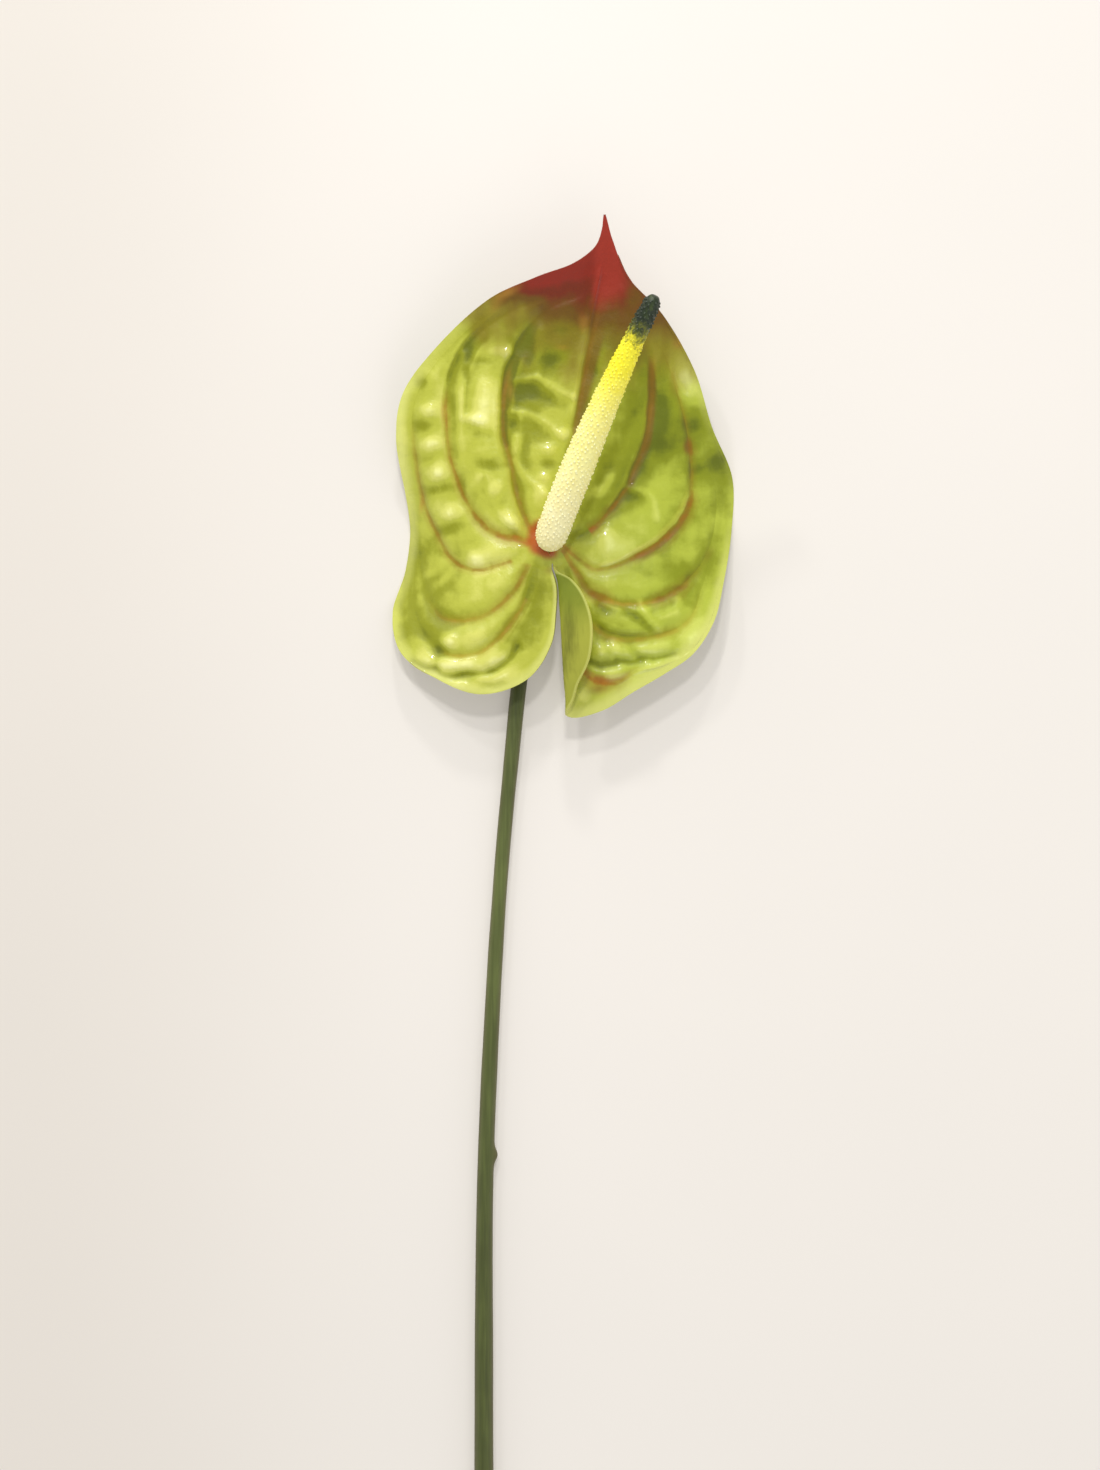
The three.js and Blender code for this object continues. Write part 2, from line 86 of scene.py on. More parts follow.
# The stalk: its radius by the way back from its top, and its middle line from the cut end up
STALK_RADII = [(0, NECK_RADIUS), (50, 2.85), (120, 2.6), (190, 2.8), (260, 3.1), (330, 3.4), (460, 3.5)]
STALK_PLAN = [
    (-21.5, -450), (-23.5, -380), (-24, -300), (-23.5, -225), (-21, -165), (-17.5, -110), (-13.8, -70),
]
STALK_RISE = [
    (-11.3, -46, 2.8), (-8, -25, 3.1), (-5.2, -12.5, 4.2), (-3.2, -4.8, 6.4), (-1.9, -0.3, 9.4),
    (-1.2, 2.2, 12.8),
]

# The spadix: its tip, how its middle line bends, and its radius by share of its length
SPADIX_TIP = np.array([36.7, 89.2, 61.5])
SPADIX_BEND = 10.0
SPADIX_BOW = np.array([-2.6, 1.0, 0.0])
SPADIX_RADII = [
    (0, 3.4), (0.01, 5), (0.025, 5.9), (0.05, 6.2), (0.1, 6.3), (0.28, 6.3), (0.4, 6.05), (0.55, 5.45),
    (0.7, 4.85), (0.83, 4.15), (0.95, 3.7), (0.985, 3), (1, 1.3),
]

# ---------------------------------------------------------------- the spathe's plan


class Rib(Enum):
    """Ribs of the spathe in the order in which they are met across the blade."""

    LEFT_MARGIN = 0
    LEFT_6 = 1
    LEFT_5 = 2
    LEFT_4 = 3
    LEFT_3 = 4
    LEFT_2 = 5
    LEFT_1 = 6
    MIDRIB = 7
    RIGHT_1 = 8
    RIGHT_2 = 9
    RIGHT_3 = 10
    RIGHT_4 = 11
    RIGHT_5 = 12
    RIGHT_6 = 13
    RIGHT_MARGIN = 14


# Cross-sections from the collar to the tip: in plan, where each meets the ribs that it gives
GIVEN_RIBS = {15: list(range(15)), 9: [0, 4, 5, 6, 7, 8, 9, 10, 14], 5: [0, 4, 7, 10, 14]}
CROSS_SECTIONS = [
    [(0.5, -4), (-2.6, -4), (-5.2, -3), (-7, -1.2), (-8.2, 2),
     (-8, 5.6), (-5.8, 9), (1, 10), (6.6, 7.2), (7.6, 1.6),
     (6.8, -1), (5.4, -3), (3.9, -4), (2.4, -4.4), (0.5, -4)],
    [(2.2, -11), (-2.8, -11), (-7, -9), (-9.5, -6.3), (-12, -0.6),
     (-12, 6.8), (-8, 12.2), (2, 13.6), (11, 8.3), (12, -1.6),
     (9.8, -5.5), (7.2, -9), (4.5, -11), (1.2, -11.5), (-5, -7.8)],
    [(2.0, -20), (-6.2, -19), (-9.3, -16.5), (-12.8, -11.8), (-16.5, -2),
     (-15.5, 7.4), (-9.8, 16.5), (3.2, 18), (14.5, 10), (16, -4),
     (13, -11.5), (9.5, -15), (6, -18), (1.5, -19.5), (-10.5, -14.5)],
    [(0.4, -31), (-11, -28.5), (-13.2, -22.8), (-16.5, -15.8), (-20.5, -3.4),
     (-18.5, 8.3), (-11.2, 20.5), (4, 22), (17.5, 12.5), (19.8, -3.5),
     (17, -14), (12.5, -20.5), (8, -25.5), (3.5, -28), (-13, -24)],
    [(-8, -43.5), (-15.5, -36.5), (-18.7, -29.2), (-21.5, -19.8), (-24, -4.2),
     (-21.5, 9.8), (-12.2, 24), (4.6, 25.5), (20, 15.3), (23.2, -2.5),
     (20.8, -15.5), (16, -25), (11, -33), (7.5, -35.5), (-10.5, -36)],
    [(-25, -49), (-25, -42.3), (-26, -34.2), (-27.5, -22.1), (-27, -4.2),
     (-23.7, 11.8), (-12.9, 27.5), (5.2, 28.5), (22, 18), (26.3, -1.2),
     (24.5, -16.5), (20, -28), (15, -38), (12.3, -41), (-3, -46)],
    [(-42, -42.8), (-39.5, -40.2), (-36, -34.8), (-33.5, -22.7), (-29.5, -3.7),
     (-25.5, 13.7), (-13.4, 31), (5.7, 31), (23.7, 20.3), (29, 0.3),
     (28, -16.8), (24.5, -29.3), (20.5, -38.6), (17, -44.5), (6, -57)],
    [(-54, -33.8), (-50.5, -31.5), (-44.5, -28), (-39, -21.2), (-31.8, -2.8),
     (-27.3, 16), (-14.2, 34.3), (6.2, 33.5), (25.2, 22.5), (31.8, 1.8),
     (32, -16.6), (29.5, -29.5), (27, -37.3), (24, -44.5), (18.5, -55)],
    [(-57, -19.5), (-54, -18.5), (-49, -17), (-43.9, -14.5), (-34, -1.2),
     (-29, 19), (-15.2, 37.5), (6.8, 36.5), (26.8, 25), (35, 3.5),
     (36.5, -15.6), (35, -29), (33.5, -35.8), (32, -40), (30, -48.2)],
    [(-52.3, -4), (-51, -3.8), (-49, -4.5), (-46.4, -5.5), (-36.8, 2),
     (-31, 22.5), (-16.4, 41), (7.6, 40.5), (28.3, 28.5), (38.5, 5.8),
     (41.5, -13.8), (41, -27.6), (41, -35.8), (41, -38), (41.5, -41.5)],
    [(-50.7, 11), (-50, 10.5), (-48.9, 9), (-47.2, 8.2), (-40, 8.5),
     (-33.3, 29), (-17.4, 46.5), (8.6, 46.5), (30, 33), (42.3, 9.3),
     (46.3, -11.2), (46.8, -25.2), (49, -32), (50, -33.2), (51.5, -34.5)],
    [(-52.5, 25.5), (-51.8, 25.2), (-50.6, 24.3), (-48.7, 22.8), (-44.8, 19),
     (-36, 37.5), (-17.5, 53), (9.8, 53), (32, 37.5), (45.8, 13.2),
     (50.5, -7.3), (51.5, -20.5), (55, -22.5), (57.2, -23), (59, -23)],
    [(-55.4, 42.5), (-54.6, 42.2), (-53.3, 41.5), (-51.3, 39.5), (-48.2, 35.5),
     (-37, 48), (-17, 60), (11, 60.5), (34, 43), (48.8, 18.5),
     (54.8, -1.8), (54.8, -10.5), (58, -9.5), (60.5, -8.8), (62.8, -8)],
    [(-53.3, 58.5), (-49, 55.5), (-36.6, 62), (-15, 68.5),
     (12.3, 69), (35.2, 50.5), (50.8, 26.5), (58.8, 8), (65.8, 11)],
    [(-43, 73.3), (-40.1, 71.1), (-31.3, 74.7), (-10, 79),
     (14.5, 79), (36, 62), (50, 42), (60, 25), (66, 30)],
    [(-22, 92.3), (-20.1, 89), (-15.5, 87.8), (-1.5, 88.8),
     (16.6, 88.5), (35, 72.5), (46.5, 57.5), (54, 45.5), (58.5, 47.5)],
    [(-5, 99.9), (-4.2, 96.4), (2.5, 95), (10, 94.5),
     (18.2, 96), (30, 83), (41, 73.5), (48, 65.8), (52, 67.5)],
    [(8.6, 105), (10, 103), (13.4, 101.6), (16, 101),
     (19.2, 101.5), (24.5, 96.5), (30.5, 90), (35.8, 86.5), (40.5, 87)],
    [(16.2, 111), (17.4, 109.4), (19.9, 107.5), (26, 99.3), (27.6, 100.6)],
    [(18.3, 116.6), (18.7, 115.6), (20.1, 113.5), (22, 111.6), (22.6, 112.6)],
    [(18.9, 121.2), (19.2, 121.7), (19.5, 121.8), (19.8, 121.7), (20.1, 121.2)],
]
LAST_STATION = len(CROSS_SECTIONS)

# The roll of the right lobe's inner margin: how far below the joint, x of its left side, and radius
ROLL_OUTLINE = [
    (3, 1.3, 0.9), (5.5, 2.2, 1.7), (8, 2.9, 2.4), (15, 3.6, 3.9), (24, 4.2, 4.6), (34, 4.7, 4.5),
    (44, 5.3, 3.6), (51, 5.9, 2.6), (57, 5.8, 2),
]


@dataclass(frozen=True)
class Rise:
    """A change of height that grows as the square of the way past a line."""

    start: float
    over: float
    height: float

    def at(self, amount: np.ndarray) -> np.ndarray:
        """Height for this way past the line."""
        return self.height * (np.maximum(0, amount - self.start) / self.over) ** 2


@dataclass(frozen=True)
class Droop:
    """How far one side of the blade hangs down, deepest at one height of the plan."""

    start: float
    over: float
    steady: float
    wave: float
    deepest: float
    width: float

    def at(self, amount: np.ndarray, y: np.ndarray) -> np.ndarray:
        """Fall of the blade this far out from its middle, at y."""
        fall = self.steady + self.wave * np.exp(-(((y - self.deepest) / self.width) ** 2))
        return fall * (np.maximum(0, amount - self.start) / self.over) ** 2


@dataclass(frozen=True)
class TipFold:
    """The valley along the midrib near the tip, with sides that rise and level off."""

    start: float
    end: float
    height: float
    roundness: float
    reach: float

    def at(self, from_midrib: np.ndarray, y: np.ndarray) -> np.ndarray:
        """Rise of the blade this far from the midrib, at y."""
        beside = np.hypot(from_midrib, self.roundness) - self.roundness
        return self.height * (smoothstep(y, self.start, self.end) * np.tanh(beside / self.reach))


# ---------------------------------------------------------------- relief of the spathe

# Panels between neighbouring ribs, from left to right: columns of the net, share of the full puff, and
# the station near which the puff fades
PANEL_COLUMNS = [7, 9, 9, 11, 15, 17, 18, 18, 17, 15, 10, 8, 7, 14]
PANEL_GAINS = [0.1, 0.6, 0.8, 0.8, 0.85, 0.9, 0.7, 0.6, 0.55, 0.6, 0.7, 0.9, 0.8, 0]
PANEL_ENDS = [9, 9, 9.5, 10, 14.5, 15, 16, 16, 15.5, 13, 11.5, 10, 9, 9]

# Cells of the blade: x, y, half length, half width, turn in degrees, and strength. A positive one is a
# raised swelling, made paler with painted light; a negative one a sunk deep green hollow, made darker
# with painted shade.
CELLS = [
    # left 3 to left 2
    (-43.1, 53.5, 2.9, 2.2, 0, 0.7), (-42.1, 41.7, 2.9, 2.2, 0, 0.75), (-39.6, 31.4, 2.5, 2.5, 0, 0.75),
    (-34.6, 16.7, 2.9, 2.5, 0, 0.8), (-26.3, -0.4, 3.2, 2.2, 0, 0.6), (-45.3, 48.2, 4, 1.4, 0, -0.55),
    (-42.9, 36.8, 3.6, 1.3, 10, -0.5), (-39.3, 25.4, 4.7, 1.6, 5, -0.65), (-35.3, 10.9, 5, 2.2, 15, -0.8),
    (-26.6, 5.4, 3.6, 2.2, 0, -0.35), (-46.1, 63.3, 2.9, 1.8, 0, -0.5), (-44.2, 65.7, 3.2, 1.1, -20, 0.2),
    (-53, 39.1, 1.8, 14.4, 0, 0.45), (-49.4, 7.2, 2.5, 11.5, 0, -0.35), (-53.6, -14.8, 3.2, 8.6, 0, -0.3),
    # left 2 to left 1
    (-23, 56.5, 4.3, 7.2, 3, 0.75), (-25.8, 50.1, 3.2, 1.4, -15, 0.5), (-19.7, 73.7, 3.6, 1.4, 0, 0.35),
    (-32.7, 60.2, 1.4, 8.6, 0, 0.4), (-35.6, 62.1, 1.3, 9.4, 5, -0.35), (-30.1, 75.5, 8.6, 1.6, 57, -0.5),
    (-25.1, 70.8, 5, 2.2, 0, -0.45), (-22.3, 33.3, 4.3, 1.8, -10, -0.9),
    (-25.1, 45.1, 4.7, 1.8, -22, -0.6), (-23.7, 29.3, 2.9, 1.8, 0, 0.3), (-19.4, 25.3, 2.2, 2.2, 0, 0.45),
    (-32, 32.7, 1.4, 4, 0, 0.35), (-16.9, 21, 1.8, 2.9, 0, -0.4), (-14.4, 13.5, 4, 1.4, -45, 0.7),
    (-25.2, 21.5, 1.4, 5, 20, -0.3),
    # left 1 to midrib
    (-9, 37.1, 1.3, 5.8, 0, -0.6), (-11.1, 25, 1.4, 4.3, 15, -0.4), (-8.2, 76.2, 2.9, 5, 0, -0.7),
    (-1.4, 84.3, 4.7, 5, 0, -0.4), (0.4, 70.8, 4.3, 2.5, 20, -0.6), (-6.1, 59.3, 6.1, 2.9, -10, -0.75),
    (0.7, 56.5, 3.2, 1.8, -30, -0.5), (-13.2, 47.6, 2.5, 2.8, 0, -0.55), (-3.6, 44.6, 5, 2.9, -20, -0.35),
    (-0.4, 38.9, 2.9, 2.2, 0, 0.55), (-11.5, 41.1, 1.3, 4, 5, 0.3), (-0.4, 33.6, 2.2, 0.9, 0, -0.6),
    (-2.2, 28.8, 1.4, 1.8, 0, 0.5), (-3.2, 22.7, 2.2, 1.4, 0, 0.4), (5.4, 44.8, 1.4, 1.1, 0, 0.6),
    (-15.4, 73.7, 1.1, 1.4, 0, 0.8), (12.6, 76.2, 1.4, 10.8, -10, 0.4), (15.1, 66.5, 2.2, 2.9, 0, -0.7),
    (6.8, 81.8, 3.6, 2.9, 0, -0.5),
    # right
    (29.5, 53.7, 2.2, 5.8, -8, -0.3), (39.9, 53.9, 2.9, 7.9, -5, -0.8), (41.3, 73.9, 1.4, 13, -5, -0.4),
    (48.9, 64.1, 2.9, 5.4, 20, 0.85), (52, 48.8, 2.9, 3.6, 0, -0.7), (43.9, 46.1, 1.4, 5.8, 0, 0.1),
    (59.4, 35.9, 2.9, 3.2, 0, -0.8), (39.9, 39.5, 4.3, 2.9, 0, -0.6), (21.5, 31.4, 5, 7.9, -25, -0.6),
    (21.2, 28.2, 1.3, 4, -35, 0.9), (17.6, 23.5, 2.2, 1.1, 20, 0.6), (32.4, 31.6, 2.9, 3.6, 0, -0.5),
    (29.5, 21.8, 4.7, 2.9, -10, -0.75), (23, 16.8, 5, 2.5, 20, -0.35), (29.5, 12.1, 5.8, 3.6, 20, 0.2),
    (20.5, 6.3, 3.2, 3.6, 0, 0.75), (40, 25.9, 2.9, 6.5, -30, 0.15), (53.8, 32.1, 3.6, 2.5, 0, -0.65),
    (62.5, 32.6, 2.9, 8.6, -10, -0.45), (31.6, -4.8, 5.4, 2.5, 0, -0.4), (40.7, -0.8, 2.9, 3.6, 0, -0.3),
    (17.9, -18.9, 4.3, 2.5, -20, -0.45), (32.3, -22.1, 5.8, 1.8, -35, -0.5),
    (35.9, -32.4, 6.5, 2.2, 10, 0.4), (50.4, -29.5, 4.3, 2.9, 30, 0.45), (37.8, -39.2, 7.2, 1.8, 20, 0.5),
    (19.4, -41.1, 5, 1.8, 0, 0.35), (10.8, -52.9, 3.6, 2.9, 30, -0.4), (11.9, -50, 1.1, 2.2, 0, 0.8),
    (23, -31.4, 1.1, 1.8, 0, 0.8), (18, -33.2, 1.1, 1.8, 0, 0.7),
    # lobe
    (-35.6, -29.9, 2.3, 2.2, 0, 1), (-46.3, -22.9, 3.2, 2.2, 0, 0.2), (-27, -28.1, 5, 2.2, 15, 0.3),
    (-35.6, -38.2, 4.7, 1.4, -5, 0.85), (-44, -36.7, 2.9, 1.8, -25, 0.75),
    (-20.8, -36.8, 5, 2.5, 25, 0.5), (-32.4, -46.1, 5, 1.4, -10, 0.7), (-18.3, -42.9, 5, 1.4, 20, 0.5),
    (-40, -33.4, 1.8, 1.1, -20, -0.8), (-24.5, -43.5, 1.6, 3, 0, 0.5), (-38.5, -41.5, 2, 2, 0, 0.4),
    (-29.5, -37.5, 3, 1.8, 0, 0.45), (-5.4, -19.5, 3.6, 11.5, -5, -0.6), (-40.8, -7, 5.8, 1.4, 35, -0.4),
    (-39.3, -12.1, 5.8, 1.4, 35, -0.35),
]
# Broad changes of tone without relief, in the same terms: partly the blade's own mottling and partly
# painted light and shade, among them the spadix's shadow painted on its right
BROAD_TONES_LIGHT_AND_SHADE = [
    (-38, 46, 6, 20, 0, 0.25), (-23, 52, 6, 14, 0, 0.2), (-19, 2, 8, 16, 0, 0.4),
    (-24, -32, 9, 9, 0, 0.25), (-15, -42, 8, 6, 20, 0.4), (-45, -33, 6, 6, 0, 0.2),
    (-10, 58, 8, 12, 0, -0.75), (24, 80, 9, 9, 0, -0.75), (33, 60, 11, 22, 0, -0.3),
    (10, 42, 4, 20, -15, -0.2), (48, 65, 5, 9, 15, 0.2), (43, -22, 13, 7, 0, 0.05),
    (54, -27, 6, 8, 0, 0.35), (18, -37, 5, 13, 0, -0.25), (42, 30, 20, 34, 0, -0.1),
    (-3, 77, 12, 12, 0, -0.7), (62, 30, 9, 24, 0, -0.2), (-30, 40, 16, 40, 0, 0.1),
    (24, -44, 20, 12, 20, 0.2), (24, -4, 12, 10, 0, 0.3), (42, 46, 12, 12, 0, -0.5),
    (47, -8, 11, 8, 0, -0.4), (25, 26, 8, 10, 0, -0.25), (-42, -20, 9, 8, 0, -0.4),
    (-33, -4, 4, 9, 0, -0.25), (-14, -26, 6, 7, 0, -0.25), (-25, 82, 5, 6, 0, -0.35),
    (15, 20, 4, 14, -20, -0.3), (-52, 2, 3, 14, 0, -0.35), (30, 74, 6, 8, 0, -0.5),
    (-29, 62, 4, 12, 0, -0.45), (-14, 64, 3, 12, 0, -0.4), (27, 4, 6, 3, 20, 0.4),
    (-45, 2, 5, 5, 0, -0.5), (-50, -26, 5, 5, 0, -0.35), (-38, -26, 7, 5, 0, -0.35),
    (58, 0, 5, 8, 0, -0.25), (14, -2, 4, 4, 0, 0.3), (43, -16, 7, 5, 0, -0.35),
]
# Brown and orange stains, in the same terms
STAINS = [
    (17.2, 84.3, 2.5, 7.9, -10, 0.9), (14.4, 70.9, 2.2, 7.9, -15, 0.8), (11.5, 58.4, 1.4, 5.8, -15, 0.6),
    (9.3, 49.4, 1.1, 5, -15, 0.4), (36, 62.1, 1.4, 9.4, 0, 0.7), (35.6, 52.5, 1.4, 2.9, 0, 0.6),
    (34.2, 42.4, 1.8, 5, -10, 0.4), (49.4, 40.9, 1.8, 2.9, 0, 0.6), (46.8, -10.8, 3.2, 1.4, 10, 0.6),
    (57.1, 1, 2.5, 4.3, -20, 0.45), (22.3, -29.6, 6.5, 2.2, 0, 0.35), (43.8, 81.1, 2.9, 6.5, 25, 0.6),
    (40.5, 83.3, 1.4, 7.9, 0, 0.4), (-16.2, 62, 1.3, 9.4, 0, 0.5), (-17.9, 92, 5, 2.5, 20, 0.4),
    (-17, 85, 6, 5, 0, 0.3), (16, -13.6, 4.5, 1.8, -32, 0.7), (0, -4.5, 3.5, 2, 0, 0.5),
    (18, -47, 7, 2.2, 15, 0.5), (49.7, 40, 1.6, 1.8, 0, 0.5),
]
# Tan blushes, in the same terms; some of them are painted highlights on the tops of cells
BLUSHES_AND_HIGHLIGHTS = [
    (-14.2, 60.5, 1.8, 9, 5, 0.45), (-38.2, 53, 1.3, 6, 0, 0.5), (4.6, 75.4, 3, 1.4, 0, 0.4),
    (46.4, 76.7, 3.5, 3, 0, 0.45), (-15.5, 94.6, 7, 2, 26, 0.6), (12, 84, 2.5, 5, 0, 0.5),
    (-20, 89, 5, 2, 30, 0.3), (37.2, 68, 1.6, 6, 0, 0.4), (-46, 21, 1.3, 5, -10, 0.6),
]
# Green cells that lie in the brown of the tip, in the same terms
TIP_CELLS = [
    (5, 82, 8, 4, -10, 0.25), (3, 72.5, 7, 4, 10, 0.2), (-8, 79, 4, 7, 0, 0.15),
    (16, 72, 2.5, 7, -15, 0.15),
]
# Narrow ridges and creases: a line in plan, and the height. The heights also pale the ridges and darken
# the creases in the colour, as painted light and shade.
FOLDS = [
    ([(-13.3, 63.3), (-4.7, 65.0), (2.2, 60.4), (8.3, 57.7)], 0.4),
    ([(-13.6, 52.6), (-9.0, 52.2), (-1.8, 48.6), (4.7, 43.2)], 0.4),
    ([(-12.6, 34.7), (-9.0, 28.9), (-1.8, 23.1)], 0.35),
    ([(-31.2, 73.7), (-31.6, 61.9), (-31.3, 51.3), (-25.1, 49.0)], 0.4),
    ([(-5.0, 65.0), (-4.3, 74.3), (-3.2, 81.4)], 0.4),
    ([(-10.4, 51.5), (-11.1, 45.0), (-12.2, 37.9)], 0.35),
    ([(28.1, 25.1), (34.2, 23.7), (37.0, 20.8), (38.2, 13.7)], 0.35),
    ([(32.4, -16.3), (35.2, -22.1), (39.5, -25.6)], 0.4),
    ([(46.0, -15.2), (45.3, -19.5), (39.5, -21.7)], 0.4),
    ([(-49.4, -37.4), (-45.5, -39.8), (-41.5, -40), (-38.5, -42.5), (-34.5, -43.2), (-31.7, -42.1)], -0.8),
    ([(-40.9, -36.2), (-41.3, -39.2)], -0.3),
    ([(-29.2, -41.6), (-24.1, -41.8), (-19.4, -40.4), (-14.8, -36.8), (-11.5, -31.7)], -0.7),
    ([(-24.5, -45.6), (-20.5, -46.4), (-17.0, -45.4)], -0.5),
    ([(29.5, -33.2), (32.4, -35.7), (37.8, -36.4), (45.0, -34.9)], -0.5),
    ([(13.3, -36.8), (18.0, -38.9), (23.4, -38.2)], -0.6),
    ([(24.1, -36.8), (28.8, -37.8), (32.4, -37.1)], -0.5),
    ([(-30.2, 67.3), (-30.5, 60.1), (-30.2, 52.2)], -0.4),
    ([(-23.7, 27.9), (-22.3, 20.7), (-18.0, 13.5), (-12.6, 8.8)], -0.35),
    ([(17.9, -17.1), (20.5, -19.2)], -0.4),
    ([(27.0, -18.8), (32.3, -22.4), (35.9, -25.3)], -0.4),
]


class Side(Enum):
    """A side of a rib, as seen from above with the tip up."""

    LEFT = -1
    RIGHT = 1


# Bands beside ribs: rib, side, first and last station, distance from the rib, width, height, tone, stain.
# The tone is painted light on a rib's lit side and painted shade on its shaded side; the stain is brown on
# the shaded side, partly the vein's stain and partly painted shade.
BANDS = [
    (Rib.LEFT_2, Side.LEFT, 9.5, 15, 1.7, 0.9, 0.45, 0.25, 0),
    (Rib.LEFT_2, Side.RIGHT, 9.5, 15, 3.2, 2.4, -0.25, -0.45, 0),
    (Rib.LEFT_2, Side.RIGHT, 11, 15, 6.4, 0.9, 0.2, 0.3, 0),
    (Rib.LEFT_1, Side.LEFT, 9, 15.5, 2.2, 1.3, 0.3, 0.3, 0),
    (Rib.LEFT_1, Side.RIGHT, 9, 15.5, 0.9, 1.1, -0.15, -0.6, 0.2),
    (Rib.LEFT_1, Side.RIGHT, 11, 14.5, 4.4, 0.9, 0.3, 0.3, 0),
    (Rib.LEFT_1, Side.LEFT, 2, 8, 1.7, 0.8, 0.35, 0.2, 0),
    (Rib.MIDRIB, Side.LEFT, 11, 18.5, 1.6, 0.8, 0.5, 0.35, 0),
    (Rib.MIDRIB, Side.RIGHT, 10, 17.5, 2.4, 2.4, 0, -0.4, 0.6),
    (Rib.RIGHT_1, Side.LEFT, 5, 15, 1.4, 0.7, 0.4, 0.4, 0),
    (Rib.RIGHT_1, Side.RIGHT, 9, 16, 1.2, 1.7, 0, -0.3, 0.7),
    (Rib.RIGHT_2, Side.LEFT, 3, 13.5, 1.2, 0.8, 0.5, 0.6, 0),
    (Rib.RIGHT_2, Side.RIGHT, 7.5, 13.3, 1.6, 1.5, 0, -0.3, 0.6),
    (Rib.RIGHT_3, Side.RIGHT, 4, 12, 1.7, 0.8, 0.35, 0.25, 0),
    (Rib.LEFT_3, Side.LEFT, 3, 10, 1.7, 0.8, 0.3, 0.15, 0),
    (Rib.LEFT_3, Side.RIGHT, 4, 11, 1.6, 1, 0.2, 0.2, 0),
    (Rib.RIGHT_4, Side.LEFT, 4.5, 9, 1.8, 1, -0.25, -0.45, 0),
    (Rib.LEFT_5, Side.LEFT, 3, 7, 1.6, 1, 0.3, 0.3, 0),
]

# Painted shade at the bottom of a groove: how much darker it is, for the ribs that differ from the rest
GROOVE_SHADES = {
    Rib.LEFT_6: 0.1, Rib.LEFT_3: 0.12, Rib.LEFT_4: 0.3, Rib.MIDRIB: 0.25, Rib.RIGHT_5: 0.05,
    Rib.RIGHT_6: 0.1,
}

# Pale margins: station, how pale the margin is there, and how wide
PALE_MARGINS = {
    Rib.LEFT_MARGIN: [
        (0.5, 0, 1), (1.5, 0.9, 1.6), (3.5, 0.9, 2), (4.5, 0.9, 3.5), (7, 0.9, 4.5), (8.5, 0.4, 4.5),
        (10, 0.5, 5), (11.5, 0.9, 5), (13.2, 1, 4.5), (13.9, 0.3, 4), (16, 0, 3),
    ],
    Rib.RIGHT_MARGIN: [
        (0.5, 0, 2), (2, 0.5, 4), (5, 0.6, 5), (6.5, 0.9, 5.5), (9, 1, 5.5), (11.5, 1, 5), (12.5, 0.6, 4),
        (13.3, 0.1, 3), (15, 0.1, 3), (15.6, 0.4, 3), (17, 0, 3),
    ],
}

